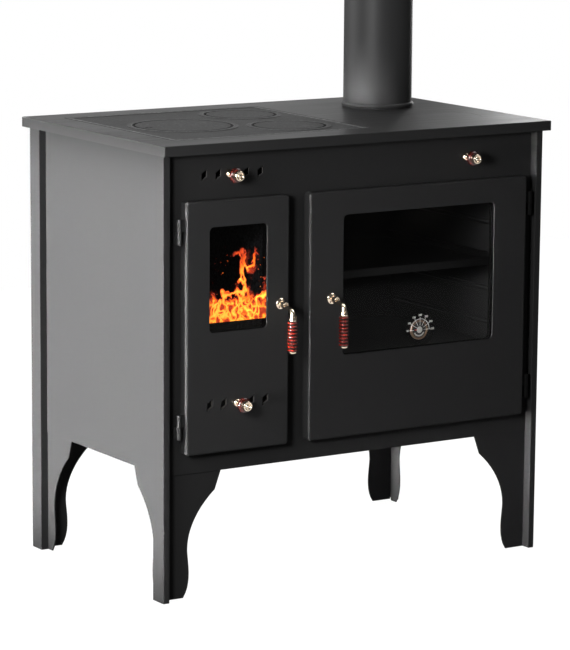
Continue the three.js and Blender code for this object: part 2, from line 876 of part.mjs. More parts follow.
// The bars of the grate are what two rows of slots leave
function grate() {
  const left = fireShell.left + fireShellSheet + clearance;
  const right = fireShell.right - fireShellSheet - clearance;
  const back = fireShellBack - fireShellSheet - clearance;
  const rowLength = (back - shellFront - 3 * grateBorder) / 2;
  const count = Math.floor((right - left - 2 * grateBorder) / grateSlotPitch);
  const start = (left + right) / 2 - ((count - 1) * grateSlotPitch) / 2;
  const tools = [];
  for (let row = 0; row < 2; row += 1) {
    const y = shellFront + grateBorder + row * (rowLength + grateBorder);
    for (let place = 0; place < count; place += 1) {
      const x = start + place * grateSlotPitch;
      const half = grateSlotWidth / 2;
      tools.push(block(x - half, x + half, y, y + rowLength, grateHeight - overrun, grateTop + overrun));
    }
  }
  return cut(block(left, right, shellFront + clearance, back, grateHeight, grateTop), ...tools);
}

function makeFirebox() {
  const group = new THREE.Group();
  const shellBack = fireShellBack;
  const inside = grown(fireShell, -fireShellSheet);
  const grateLedge = grateHeight - clearance;
  const ledge = (x0, x1) => block(x0, x1, shellFront, shellBack, grateLedge - fireShellSheet, grateLedge);
  const hollow = cut(
    upright(fireShell, shellFront, shellBack),
    upright({ ...inside, top: fireShell.top + overrun }, shellFront - overrun, shellBack - fireShellSheet),
    block(
      inside.right - overrun,
      fireShell.right + overrun,
      shellFront - overrun,
      shellBack - fireShellSheet,
      smokeSill,
      fireShell.top + overrun,
    ),
  );
  const shell = joined(
    hollow,
    ledge(fireShell.left, inside.left + ledgeInset),
    ledge(inside.right - ledgeInset, fireShell.right),
  );
  piece(group, 'firebox_shell', shell, 'steel');
  piece(group, 'grate', grate(), 'castIron');

  const plateBottom = grateTop + clearance;
  const plateFrontY = shellFront + fireplateSetback;
  const backPlateBack = shellBack - fireShellSheet - clearance;
  const backPlateFront = backPlateBack - fireplateThickness;
  const leftInner = inside.left + clearance + fireplateThickness;
  const rightInner = inside.right - clearance - fireplateThickness;
  piece(
    group,
    'fireplate_left',
    block(inside.left + clearance, leftInner, plateFrontY, backPlateBack, plateBottom, fireplateTop),
    'castIron',
  );
  piece(
    group,
    'fireplate_right',
    block(rightInner, inside.right - clearance, plateFrontY, backPlateBack, plateBottom, fireplateTop),
    'castIron',
  );
  piece(
    group,
    'fireplate_back',
    block(leftInner + clearance, rightInner - clearance, backPlateFront, backPlateBack, plateBottom, fireplateTop),
    'castIron',
  );

  const pan = {
    left: fireShell.left + ashPanSideGap,
    right: fireShell.right - ashPanSideGap,
    bottom: inside.bottom + clearance,
    top: inside.bottom + ashPanHeight,
  };
  const panFront = shellFront + ashPanFrontGap;
  const panBack = shellBack - ashPanBackGap;
  const ashPan = cut(
    upright(pan, panFront, panBack),
    upright({ ...grown(pan, -sheet), top: pan.top + overrun }, panFront + sheet, panBack - sheet),
  );
  piece(group, 'ash_pan', ashPan, 'steel');
  const lipBack = panFront - clearance;
  const panLip = joined(
    block(pan.left, pan.right, lipBack - sheet, lipBack, pan.top - ashPanLip, pan.top),
    block(pan.left, pan.right, lipBack - ashPanLip, lipBack, pan.top - sheet, pan.top),
  );
  piece(group, 'ash_pan_lip', panLip, 'steel');
  return group;
}

// The pressed ribs of the oven's side walls, which carry the tray
function ovenRunner(z) {
  return outline([
    [0, z - ovenRunnerWidth / 2],
    [ovenRunnerDepth, z],
    [ovenRunnerDepth, z + ovenRunnerWidth / 2],
    [0, z + ovenRunnerWidth / 2],
  ]);
}

function makeOven() {
  const group = new THREE.Group();
  const back = ovenBack;
  const box = cut(
    upright(grown(ovenCavity, sheet), shellFront, back),
    upright(ovenCavity, shellFront - overrun, back - sheet),
  );
  const runnerFront = shellFront + ovenRunnerInset;
  const runnerBack = back - ovenRunnerInset;
  const runners = [];
  for (let level = 0; level < ovenRunnerCount; level += 1) {
    const rib = alongY(ovenRunner(ovenRunnerHeight + level * ovenRunnerPitch), runnerFront, runnerBack);
    runners.push(moved(rib, ovenCavity.left, 0, 0));
    runners.push(moved(mirrored(rib, true, false), ovenCavity.right, 0, 0));
  }
  piece(group, 'oven_box', joined(box, ...runners), 'enamel');

  const seat = ovenRunnerHeight + trayRunner * ovenRunnerPitch + ovenRunnerWidth / 2 + clearance;
  const trayLeft = ovenCavity.left + clearance;
  const trayRight = ovenCavity.right - clearance;
  const trayFront = shellFront + traySetback;
  const trayBack = back - sheet - clearance;
  const pan = {
    left: trayLeft + trayFlange,
    right: trayRight - trayFlange,
    bottom: seat + sheet - trayHeight,
    top: seat + sheet,
  };
  const tray = cut(
    joined(
      upright(pan, trayFront, trayBack),
      block(trayLeft, trayRight, trayFront, trayBack, seat, seat + sheet),
    ),
    upright(
      { ...grown(pan, -sheet), top: pan.top + overrun },
      trayFront + sheet,
      trayBack - sheet,
    ),
  );
  piece(group, 'oven_tray', tray, 'enamel');

  const flueRadius = pipeRadius + flueBoxMargin;
  const flueFront = pipeY - flueRadius;
  const flueBottom = ovenCavity.top + sheet + clearance;
  const flueTop = postTop;
  const window = {
    left: damperX - flueWindowWidth / 2,
    right: damperX + flueWindowWidth / 2,
    bottom: flueBottom + flueWindowSill,
    top: flueBottom + flueWindowSill + flueWindowHeight,
  };
  const flueBox = cut(
    block(pipeX - flueRadius, pipeX + flueRadius, flueFront, pipeY + flueRadius, flueBottom, flueTop),
    block(
      pipeX - flueRadius + sheet,
      pipeX + flueRadius - sheet,
      flueFront + sheet,
      pipeY + flueRadius - sheet,
      flueBottom - overrun,
      flueTop + overrun,
    ),
    upright(window, flueFront - overrun, flueFront + overrun),
  );
  piece(group, 'flue_box', flueBox, 'steel');
  return group;
}

function makeDamper() {
  const group = new THREE.Group();
  const flueFront = pipeY - pipeRadius - flueBoxMargin;
  const plateBack = flueFront - clearance - knobNutThickness - clearance;
  const plateFrontY = plateBack - sheet;
  const flueBottom = ovenCavity.top + sheet + clearance;
  const plate = {
    left: damperX - flueWindowWidth / 2 - damperOverlap,
    right: damperX + flueWindowWidth / 2 + damperOverlap,
    bottom: flueBottom + flueWindowSill - damperOverlap,
    top: flueBottom + flueWindowSill + flueWindowHeight + damperOverlap,
  };
  const hole = rodAlongY(knobStudRadius + clearance, plateFrontY - overrun, plateBack + overrun);
  const damper = cut(upright(plate, plateFrontY, plateBack), moved(hole, damperX, 0, damperHeight));
  piece(group, 'damper_plate', damper, 'steel');
  addKnob(group, 'damper', damperX, frameFront, damperHeight, plateFrontY);
  return group;
}

// A door's pressed front: a hollow shell open at the back, with its window
function doorShell(area, window, tools) {
  const round = doorEdgeRound;
  const outer = alongY(roundedRectangle(area, doorCornerRadius + round), doorFront + round, doorBack + round, {
    bevelEnabled: true,
    bevelThickness: round,
    bevelSize: round,
    bevelOffset: -round,
    bevelSegments: 2,
  });
  return cut(
    outer,
    upright(grown(area, overrun), doorBack, doorBack + 3 * overrun),
    upright(grown(area, -doorSheet), doorFront + doorSheet, doorBack + overrun),
    alongY(roundedRectangle(window, glassCornerRadius), doorFront - overrun, doorBack),
    ...tools,
  );
}

// The inner sheet that carries the rope, with the frame that holds the glass
function doorLiner(area, window, tools) {
  const plate = upright(grown(area, -doorSheet - clearance), linerFront, linerBack);
  const frame = upright(grown(window, linerFrameWidth), glassBack + clearance, linerFront + linerSheet / 2);
  const through = alongY(roundedRectangle(window, glassCornerRadius), glassFront - overrun, linerBack + overrun);
  return cut(joined(plate, frame), through, ...tools);
}

// The rope lies on the liner, just outside the opening that it closes
function doorRope(opening) {
  const middle = grown(opening, ropeInset);
  const round = ropeRadius;
  const shape = roundedRectangle(grown(middle, round), 3 * round);
  shape.holes.push(roundedRectangle(grown(middle, -round), round));
  const middleY = linerBack + clearance + round;
  const flat = round / 4;
  return alongY(shape, middleY - flat, middleY + flat, {
    bevelEnabled: true,
    bevelThickness: round - flat,
    bevelSize: round - flat,
    bevelOffset: flat - round,
    bevelSegments: 1,
  });
}

function doorGlass(window, holes) {
  const pane = alongY(roundedRectangle(grown(window, glassOverlap), glassCornerRadius), glassFront, glassBack);
  return holes.length > 0 ? cut(pane, ...holes) : pane;
}

// The knuckle on the frame, with its pin; it stands below the door's knuckle. Its axis is x 0, y 0.
function frameKnuckle() {
  const half = hingeLength / 2;
  const leafEnd = frameFront - clearance - hingeAxisY;
  return joined(
    rod(hingeRadius, -half, -clearance / 2, pinSides),
    rod(pinRadius, -hingeLeaf, half - hingeLeaf, pinSides),
    block(-hingeLeaf / 2, hingeLeaf / 2, 0, leafEnd, -half, -clearance / 2 - clearance),
  );
}

// The knuckle on the door, with the blind bore that takes the pin
function doorKnuckle() {
  const half = hingeLength / 2;
  const leafEnd = hingeOffset - clearance;
  return cut(
    joined(
      rod(hingeRadius, clearance / 2, half, pinSides),
      block(0, leafEnd, -hingeLeaf / 2, hingeLeaf / 2, clearance, half - clearance),
    ),
    rod(pinRadius + clearance, -overrun, half - hingeLeaf + clearance, pinSides),
  );
}

const hingeHeights = [
  ['upper', doorTop - hingeInset - hingeLength / 2],
  ['lower', doorBottom + hingeInset + hingeLength / 2],
];

function addFrameKnuckles(group, prefix, axisX) {
  for (const [place, z] of hingeHeights) {
    const mesh = piece(group, `${prefix}_hinge_${place}_pin`, frameKnuckle(), 'casing');
    mesh.position.set(axisX, hingeAxisY, z);
  }
}

function addDoorKnuckles(group, prefix, axisX, leafToRight) {
  for (const [place, z] of hingeHeights) {
    const knuckle = leafToRight ? doorKnuckle() : mirrored(doorKnuckle(), true, false);
    const mesh = piece(group, `${prefix}_hinge_${place}_knuckle`, knuckle, 'casing');
    mesh.position.set(axisX, hingeAxisY, z);
  }
}

// The arm leaves the rosette forwards, bends down and thickens towards the ferrule
function handleArm() {
  const steps = 9;
  const start = -rosetteThickness / 2;
  const end = -ferruleTop - ferruleHeight / 4;
  const path = new THREE.CubicBezierCurve3(
    new THREE.Vector3(0, start, -armDrop),
    new THREE.Vector3(0, -gripStandoff * armRunShare, -armDrop),
    new THREE.Vector3(0, -gripStandoff, THREE.MathUtils.lerp(-armDrop, end, armTurnShare)),
    new THREE.Vector3(0, -gripStandoff, end),
  );
  const round = new THREE.Shape();
  round.absarc(0, 0, armRootRadius, 0, Math.PI * 2);
  const geometry = new THREE.ExtrudeGeometry(round, { steps, extrudePath: path, curveSegments: 6 });
  const centres = path.getSpacedPoints(steps);
  const positions = geometry.attributes.position;
  const point = new THREE.Vector3();
  for (let i = 0; i < positions.count; i += 1) {
    point.fromBufferAttribute(positions, i);
    const distances = centres.map((centre) => centre.distanceTo(point));
    const ring = distances.indexOf(Math.min(...distances));
    const along = THREE.MathUtils.smoothstep(ring / steps, 0, 1);
    const growth = THREE.MathUtils.lerp(1, armEndRadius / armRootRadius, along);
    point.sub(centres[ring]).multiplyScalar(growth).add(centres[ring]);
    positions.setXYZ(i, point.x, point.y, point.z);
  }
  return geometry;
}

// Rosette with its boss and screw hole, spindle, arm, ferrule, the core of the grip and its end cap.
// The door's face is y 0.
function handleBody(spindleEnd) {
  const gripTop = -ferruleTop - ferruleHeight - clearance;
  const gripBottom = gripTop - gripLength;
  const capTop = gripBottom - clearance;
  const rosetteBack = -clearance;
  const rosetteFront = rosetteBack - rosetteThickness;
  const edge = rosetteThickness / 3;
  return joined(
    turnedAlongY([
      [0, rosetteBack],
      [rosetteRadius, rosetteBack],
      [rosetteRadius, rosetteFront + edge],
      [rosetteRadius - edge, rosetteFront],
      [bossRadius, rosetteFront],
      [bossRadius, -bossReach],
      [bossHoleRadius, -bossReach],
      [bossHoleRadius, bossHoleDepth - bossReach],
      [0, bossHoleDepth - bossReach],
    ]),
    rodAlongY(spindleRadius, -rosetteThickness / 2, spindleEnd),
    handleArm(),
    moved(turned([
      [0, gripTop + clearance],
      [ferruleRadius, gripTop + clearance],
      [ferruleRadius, -ferruleTop],
      [0, -ferruleTop],
    ]), 0, -gripStandoff, 0),
    moved(rod(gripCoreRadius, capTop - gripCapHeight / 2, -ferruleTop - ferruleHeight / 2), 0, -gripStandoff, 0),
    moved(turned([
      [0, capTop - gripCapHeight],
      [gripCapRadius / 2, capTop - gripCapHeight],
      [gripCapRadius, capTop - gripCapHeight / 2],
      [gripCapRadius, capTop],
      [0, capTop],
    ]), 0, -gripStandoff, 0),
  );
}

// The turned grip: round ribs over its whole length, bored for the core
function handleGrip() {
  const gripTop = -ferruleTop - ferruleHeight - clearance;
  const bore = gripCoreRadius + clearance;
  const pitch = gripLength / gripRibs;
  const points = [[bore, gripTop - gripLength]];
  for (let rib = 0; rib < gripRibs; rib += 1) {
    const low = gripTop - gripLength + rib * pitch;
    points.push([gripGrooveRadius, low]);
    for (const share of ribShares) {
      const rise = Math.sqrt(Math.sin(Math.PI * share));
      points.push([gripGrooveRadius + (gripRadius - gripGrooveRadius) * rise, low + pitch * share]);
    }
  }
  points.push([gripGrooveRadius, gripTop]);
  points.push([bore, gripTop]);
  points.push([bore, gripTop - gripLength]);
  return moved(turned(points, pinSides), 0, -gripStandoff, 0);
}

// The latch tongue stands up from the spindle at rest, clear of the frame's edge
function latchTongue(reach) {
  const half = tongueWidth / 2;
  const shape = new THREE.Shape();
  shape.absarc(0, 0, half + tongueGap, Math.PI, Math.PI * 2);
  shape.absarc(0, reach - half, half, 0, Math.PI);
  return cut(
    alongY(new THREE.Shape(shape.getPoints(cornerSegments)), 0, tongueThickness),
    rodAlongY(spindleRadius + clearance, -overrun, tongueThickness + overrun),
  );
}

function addHandle(group, prefix, x, openingEdge) {
  const handle = new THREE.Group();
  handle.position.set(x, doorFront, handleHeight);
  piece(handle, `${prefix}_handle`, handleBody(tongueBack + tongueGap - doorFront), 'nickel');
  piece(handle, `${prefix}_grip`, handleGrip(), 'redBrown');
  const reach = Math.abs(openingEdge - x) + tongueCatch;
  piece(handle, `${prefix}_latch`, latchTongue(reach), 'steel').position.set(0, tongueFront - doorFront, 0);
  group.add(handle);
}

function spindleHole(x) {
  const hole = rodAlongY(spindleRadius + clearance, doorFront - overrun, linerBack + overrun);
  return moved(hole, x, 0, handleHeight);
}

function makeFireDoor() {
  const group = new THREE.Group();
  const area = { left: fireDoorLeft, right: fireDoorRight, bottom: doorBottom, top: doorTop };
  const handleX = fireDoorRight - fireHandleInset;
  const slots = airSlots(lowerAirHeight, lowerStemX, doorFront, doorFront + doorSheet);
  const passage = {
    left: airCentre - slotPitch * (slotsEachSide + 0.5),
    right: airCentre + slotPitch * (slotsEachSide + 0.5),
    bottom: lowerAirHeight - slotHeight,
    top: lowerAirHeight + slotHeight,
  };
  const linerPassage = upright(passage, linerFront - overrun, linerBack + overrun);
  piece(group, 'fire_door', doorShell(area, fireWindow, [...slots, spindleHole(handleX)]), 'casing');
  piece(group, 'fire_door_liner', doorLiner(area, fireWindow, [linerPassage, spindleHole(handleX)]), 'steel');
  piece(group, 'fire_door_glass', doorGlass(fireWindow, []), 'glass');
  piece(group, 'fire_door_rope', doorRope(fireOpening), 'rope');
  addDoorKnuckles(group, 'fire_door', fireDoorLeft - hingeOffset, true);
  addHandle(group, 'fire_door', handleX, fireOpening.right);
  group.add(makeLowerAirSlide());
  return group;
}

// The gauge hangs in a hole of the oven glass. The glass's face is y 0.
function gaugeCase() {
  const nutFront = glassThickness + clearance;
  return turnedAlongY([
    [0, nutFront + gaugeNutThickness],
    [gaugeNutRadius, nutFront + gaugeNutThickness],
    [gaugeNutRadius, nutFront],
    [gaugeStemRadius, nutFront],
    [gaugeStemRadius, -clearance],
    [gaugeRadius, -clearance],
    [gaugeRadius, -gaugeDepth + gaugeRim / 2],
    [gaugeRadius - gaugeRim / 2, -gaugeDepth],
    [gaugeRadius - gaugeRim, -gaugeDepth],
    [gaugeRadius - gaugeRim, -gaugeDepth + gaugeDish],
    [0, -gaugeDepth + gaugeDish],
  ], gaugeSides);
}

// The pointer rests to the left and turns over the top of the dial
function gaugePointer() {
  const hub = new THREE.Shape();
  const half = pointerWidth / 2;
  const joint = Math.asin(half / pointerHubRadius);
  hub.absarc(0, 0, pointerHubRadius, Math.PI + joint, Math.PI * 3 - joint);
  hub.lineTo(-pointerLength, 0);
  const back = -gaugeDepth + gaugeDish - clearance;
  return alongY(new THREE.Shape(hub.getPoints(8)), back - pointerThickness, back);
}

function makeOvenDoor() {
  const group = new THREE.Group();
  const area = { left: ovenDoorLeft, right: ovenDoorRight, bottom: doorBottom, top: doorTop };
  const handleX = ovenDoorLeft + ovenHandleInset;
  const gauge = new THREE.Group();
  const gaugeX = (ovenWindow.left + ovenWindow.right) / 2;
  gauge.position.set(gaugeX, glassFront, ovenWindow.bottom + gaugeFromBottom);
  const gaugeHole = rodAlongY(gaugeStemRadius + clearance, glassFront - overrun, glassBack + overrun);
  const hole = moved(gaugeHole, gauge.position.x, 0, gauge.position.z);
  piece(group, 'oven_door', doorShell(area, ovenWindow, [spindleHole(handleX)]), 'casing');
  piece(group, 'oven_door_liner', doorLiner(area, ovenWindow, [spindleHole(handleX)]), 'steel');
  piece(group, 'oven_door_glass', doorGlass(ovenWindow, [hole]), 'glass');
  piece(group, 'oven_door_rope', doorRope(ovenOpening), 'rope');
  piece(gauge, 'thermometer_case', gaugeCase(), 'copper');
  piece(gauge, 'thermometer_pointer', gaugePointer(), 'pointer');
  group.add(gauge);
  addDoorKnuckles(group, 'oven_door', ovenDoorRight + hingeOffset, false);
  addHandle(group, 'oven_door', handleX, ovenOpening.left);
  return group;
}

const stove = new THREE.Group();
stove.add(makeCasing(), makeHob(), makeFirebox(), makeOven(), makeUpperAirSlide(), makeDamper());
stove.add(makeFireDoor(), makeOvenDoor());
addFrameKnuckles(stove, 'fire_door', fireDoorLeft - hingeOffset);
addFrameKnuckles(stove, 'oven_door', ovenDoorRight + hingeOffset);

// The whole stands centred on the origin: the foremost point is the grips' front, the rearmost the hob's edge
const foremost = doorFront - gripStandoff - gripRadius;
const rearmost = caseDepth + hobBackOverhang;
stove.position.set(-caseWidth / 2, -(foremost + rearmost) / 2, 0);

export default stove;
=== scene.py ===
"""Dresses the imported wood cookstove: forms, finishes, light and camera. Metres, +Z up, front at -Y."""

import logging
import math
from collections.abc import Callable, Iterator, Mapping, Sequence
from contextlib import contextmanager
from dataclasses import dataclass
from enum import Enum
from typing import Any

import bmesh
import bpy
from mathutils import Matrix, Vector


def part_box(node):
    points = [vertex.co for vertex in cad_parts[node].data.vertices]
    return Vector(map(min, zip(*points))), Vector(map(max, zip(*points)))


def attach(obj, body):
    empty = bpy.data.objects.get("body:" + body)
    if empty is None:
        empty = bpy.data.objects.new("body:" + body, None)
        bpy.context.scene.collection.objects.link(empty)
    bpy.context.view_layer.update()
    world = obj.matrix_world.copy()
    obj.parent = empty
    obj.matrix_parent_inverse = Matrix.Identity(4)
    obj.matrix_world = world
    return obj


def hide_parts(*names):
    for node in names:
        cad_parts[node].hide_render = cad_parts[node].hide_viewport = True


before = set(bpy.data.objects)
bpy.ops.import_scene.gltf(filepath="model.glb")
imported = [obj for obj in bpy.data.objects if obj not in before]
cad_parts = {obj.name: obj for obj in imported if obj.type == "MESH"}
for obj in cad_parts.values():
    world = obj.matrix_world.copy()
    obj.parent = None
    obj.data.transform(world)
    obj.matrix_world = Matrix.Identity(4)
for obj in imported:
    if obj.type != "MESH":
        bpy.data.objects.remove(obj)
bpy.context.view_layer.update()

LOG = logging.getLogger("cookstove")
FULL_TURN = 2 * math.pi
QUARTER_TURN = math.pi / 2
OVERRUN = 0.01
JOINT_GAP = 0.0003
MERGE = 0.000002
FINE_EDGE = 0.0003
NEARLY_ONE = 0.9999
NEARLY_ROUND = 0.98
ARC_MIDDLE = 0.3
FOLD_STEPS = 4
ROUND_STEPS = 6
CORNER_STEPS = 8
SMOOTH_TURNED = 40.0
SMOOTH_ROUND = 50.0
SMOOTH_RIBBED = 60.0

Point = tuple[float, float, float]
Colour = tuple[float, float, float]
Profile = Sequence[tuple[float, float]]


class Slot(str, Enum):
    """The record's material slots."""

    CASING = "casing_paint"
    HOB = "hob_paint"
    CAST = "cast_iron"
    PIPE = "pipe_paint"
    NICKEL = "nickel"
    RED_BROWN = "red_brown"
    GLASS = "door_glass"
    ROPE = "rope"
    STEEL = "inner_steel"
    ENAMEL = "oven_enamel"
    COPPER = "copper"
    POINTER = "pointer_red"
    DIAL = "dial_white"
    MARKS = "dial_marks"
    PRINT = "glass_print"


class Axis(Enum):
    """The axis that a piece is turned about."""

    ALONG_Y = (0.0, 1.0, 0.0)
    ALONG_Z = (0.0, 0.0, 1.0)


class Pick(Enum):
    """What is selected in edit mode."""

    CORNERS = "VERT"
    EDGES = "EDGE"
    FACES = "FACE"


class Value:
    """A socket of a finish, on which Python arithmetic adds Math nodes."""

    def __init__(self, tree: "FinishTree", socket: bpy.types.NodeSocket) -> None:
        """Wraps a socket.

        Args:
            tree: The finish that the socket belongs to.
            socket: The output socket.
        """
        self.tree = tree
        self.socket = socket

    def _maths(self, operation: str, first: Any, second: Any = 0.0) -> "Value":
        """Adds a Math node.

        Args:
            operation: The node's operation.
            first: The first value or link.
            second: The second value or link.

        Returns:
            The node's result.
        """
        sockets = {"Value": first, "Value_001": second}
        return self.tree.node("ShaderNodeMath", {"operation": operation}, sockets)

    def __add__(self, other: Any) -> "Value":
        """The sum."""
        return self._maths("ADD", self, other)

    def __radd__(self, other: Any) -> "Value":
        """The sum, reflected."""
        return self._maths("ADD", other, self)

    def __sub__(self, other: Any) -> "Value":
        """The difference."""
        return self._maths("SUBTRACT", self, other)

    def __rsub__(self, other: Any) -> "Value":
        """The difference, reflected."""
        return self._maths("SUBTRACT", other, self)

    def __mul__(self, other: Any) -> "Value":
        """The product."""
        return self._maths("MULTIPLY", self, other)

    def __rmul__(self, other: Any) -> "Value":
        """The product, reflected."""
        return self._maths("MULTIPLY", other, self)

    def __truediv__(self, other: Any) -> "Value":
        """The quotient."""
        return self._maths("DIVIDE", self, other)

    def __pow__(self, other: Any) -> "Value":
        """The power."""
        return self._maths("POWER", self, other)

    def least(self, other: Any) -> "Value":
        """The lesser of two values."""
        return self._maths("MINIMUM", self, other)

    def most(self, other: Any) -> "Value":
        """The greater of two values."""
        return self._maths("MAXIMUM", self, other)

    def size(self) -> "Value":
        """The value without its sign."""
        return self._maths("ABSOLUTE", self)

    def wave(self) -> "Value":
        """The sine of the value."""
        return self._maths("SINE", self)

    def ramped(self, start: float, end: float) -> "Value":
        """Rises smoothly from 0 at start to 1 at end.

        Args:
            start: The value at which the ramp starts.
            end: The value at which it ends, which may lie below start.

        Returns:
            The ramp's value.
        """
        settings = {"interpolation_type": "SMOOTHSTEP"}
        sockets = {"Value": self, "From Min": start, "From Max": end}
        return self.tree.node("ShaderNodeMapRange", settings, sockets, "Result")


class FinishTree:
    """The nodes of one material."""

    def __init__(self, name: str) -> None:
        """Starts a material with an empty tree.

        Args:
            name: The material's name.
        """
        self.material = bpy.data.materials.new(name)
        self.material.use_nodes = True
        self.tree = self.material.node_tree
        self.tree.nodes.clear()

    @staticmethod
    def _find(sockets: Any, key: str) -> bpy.types.NodeSocket:
        """Finds a socket by its identifier or else its name.

        Args:
            sockets: The inputs or outputs of a node.
            key: The identifier or name.

        Returns:
            The socket.
        """
        for socket in sockets:
            if socket.identifier == key:
                return socket
        return sockets[key]

    def node(
        self,
        kind: str,
        settings: Mapping[str, Any] | None = None,
        sockets: Mapping[str, Any] | None = None,
        output: str | None = None,
    ) -> Value:
        """Adds any node.

        Args:
            kind: The node's type.
            settings: Its properties, or a ramp's stops as (place, colour) pairs.
            sockets: Values or links for its sockets.
            output: The output that is used; the first one otherwise.

        Returns:
            The chosen output, or the node's first input where it has no output.
        """
        node = self.tree.nodes.new(kind)
        for key, setting in (settings or {}).items():
            if key == "stops":
                self._set_stops(node.color_ramp, setting)
            else:
                setattr(node, key, setting)
        for key, given in (sockets or {}).items():
            socket = self._find(node.inputs, key)
            if isinstance(given, Value):
                self.tree.links.new(given.socket, socket)
            else:
                socket.default_value = given
        if not node.outputs:
            return Value(self, node.inputs[0])
        return Value(self, self._find(node.outputs, output) if output else node.outputs[0])

    @staticmethod
    def _set_stops(ramp: bpy.types.ColorRamp, stops: Sequence[tuple[float, Colour]]) -> None:
        """Gives a ramp its stops.

        Args:
            ramp: The ramp.
            stops: Pairs of a place and a colour, from low to high.
        """
        while len(ramp.elements) < len(stops):
            ramp.elements.new(1.0)
        for element, (place, colour) in zip(ramp.elements, stops):
            element.position = place
            element.color = (*colour, 1.0)

    def place(self) -> Value:
        """The point on the piece, in the object's own frame."""
        return self.node("ShaderNodeTexCoord", output="Object")

    def stretched(self, scale: Point) -> Value:
        """The point, scaled along each axis."""
        sockets = {"Vector": self.place(), "Vector_001": scale}
        return self.node("ShaderNodeVectorMath", {"operation": "MULTIPLY"}, sockets)

    def split(self, vector: Value) -> tuple[Value, Value, Value]:
        """The three coordinates of a vector."""
        source = self.node("ShaderNodeSeparateXYZ", sockets={"Vector": vector})
        return tuple(Value(self, output) for output in source.socket.node.outputs)

    def radius(self, x: float, y: float) -> Value:
        """The distance from an upright axis.

        Args:
            x: The axis's x.
            y: The axis's y.

        Returns:
            The distance.
        """
        across, along, _ = self.split(self.place())
        dx = across - x
        dy = along - y
        return (dx * dx + dy * dy) ** 0.5

    def noise(self, scale: float, detail: float = 3.0, vector: Value | None = None) -> Value:
        """Smooth noise.

        Args:
            scale: Lumps per metre.
            detail: The number of finer layers.
            vector: The place; the piece's own where none is given.

        Returns:
            A value about 0.5.
        """
        sockets = {"Vector": vector or self.place(), "Scale": scale, "Detail": detail}
        return self.node("ShaderNodeTexNoise", sockets=sockets)

    def cells(self, scale: float, vector: Value | None = None, feature: str = "F1") -> Value:
        """The distance in a cell pattern.

        Args:
            scale: Cells per metre.
            vector: The place; the piece's own where none is given.
            feature: What distance is measured.

        Returns:
            The distance.
        """
        sockets = {"Vector": vector or self.place(), "Scale": scale}
        return self.node("ShaderNodeTexVoronoi", {"feature": feature}, sockets, "Distance")

    def blended(self, factor: Any, first: Any, second: Any) -> Value:
        """Mixes two colours.

        Args:
            factor: 0 for the first colour, 1 for the second.
            first: The first colour or link.
            second: The second colour or link.

        Returns:
            The mixed colour.
        """
        sockets = {"Factor_Float": factor, "A_Color": rgba(first), "B_Color": rgba(second)}
        return self.node("ShaderNodeMix", {"data_type": "RGBA"}, sockets, "Result_Color")

    def bump(self, height: Value, depth: float, normal: Value | None = None) -> Value:
        """Turns a height into a normal.

        Args:
            height: The height, of about 0 to 1.
            depth: The depth of the relief in metres.
            normal: The relief that lies under it.

        Returns:
            The normal.
        """
        sockets: dict[str, Any] = {"Height": height, "Distance": depth, "Strength": 1.0}
        if normal is not None:
            sockets["Normal"] = normal
        return self.node("ShaderNodeBump", sockets=sockets)

    def surface(self, **sockets: Any) -> None:
        """Ends the tree in one shader.

        Args:
            sockets: The shader's sockets, with _ for spaces.
        """
        named = {key.replace("_", " "): rgba(given) for key, given in sockets.items()}
        shader = self.node("ShaderNodeBsdfPrincipled", sockets=named)
        self.node("ShaderNodeOutputMaterial", sockets={"Surface": shader})


def rgba(colour: Any) -> Any:
    """A colour of three numbers gets its fourth; anything else stays."""
    if isinstance(colour, tuple) and len(colour) == 3:
        return (*colour, 1.0)
    return colour


def shade(colour: Colour, share: float) -> Colour:
    """The colour made lighter or darker by a share."""
    return tuple(min(1.0, part * share) for part in colour)


@dataclass(frozen=True)
class Finish:
    """What all finishes share: a name, a slot of the record, a base colour and a roughness."""

    name: str
    slot: Slot
    colour: Colour
    roughness: float

    def material(self) -> bpy.types.Material:
        """The finish's material, made at its first use."""
        known = bpy.data.materials.get(self.name)
        if known is not None:
            return known
        tree = FinishTree(self.name)
        self.fill(tree)
        return tree.material

    def fill(self, tree: FinishTree) -> None:
        """Adds the finish's nodes; each kind of finish has its own."""
        raise NotImplementedError


@dataclass(frozen=True)
class StovePaint(Finish):
    """Matt heat-proof paint with a fine grain and faint clouds."""

    grain_scale: float = 1400.0
    grain_depth: float = 0.00003
    cloud_scale: float = 3.5
    cloud_share: float = 0.12
    streak_share: float = 0.0
    streak: Point = (60.0, 60.0, 1.5)
    rough_share: float = 0.12
    sheen: float = 0.35

    def fill(self, tree: FinishTree) -> None:
        """Adds the paint's nodes."""
        clouds = tree.noise(self.cloud_scale, 4.0)
        streaks = tree.noise(1.0, 5.0, tree.stretched(self.streak))
        grain = tree.noise(self.grain_scale, 2.0)
        cloud = clouds - 0.5
        streak = (streaks - 0.5) * self.streak_share
        lightness = cloud * self.cloud_share + streak + 0.5
        tree.surface(
            Base_Color=tree.blended(lightness, shade(self.colour, 0.55), shade(self.colour, 1.45)),
            Roughness=cloud * self.rough_share + streak * 0.5 + self.roughness,
            Specular_IOR_Level=self.sheen,
            Normal=tree.bump(grain, self.grain_depth),
        )


@dataclass(frozen=True)
class Ring:
    """A ring about a lid's axis: a machined rim or a joint."""

    x: float
    y: float
    inner: float
    outer: float


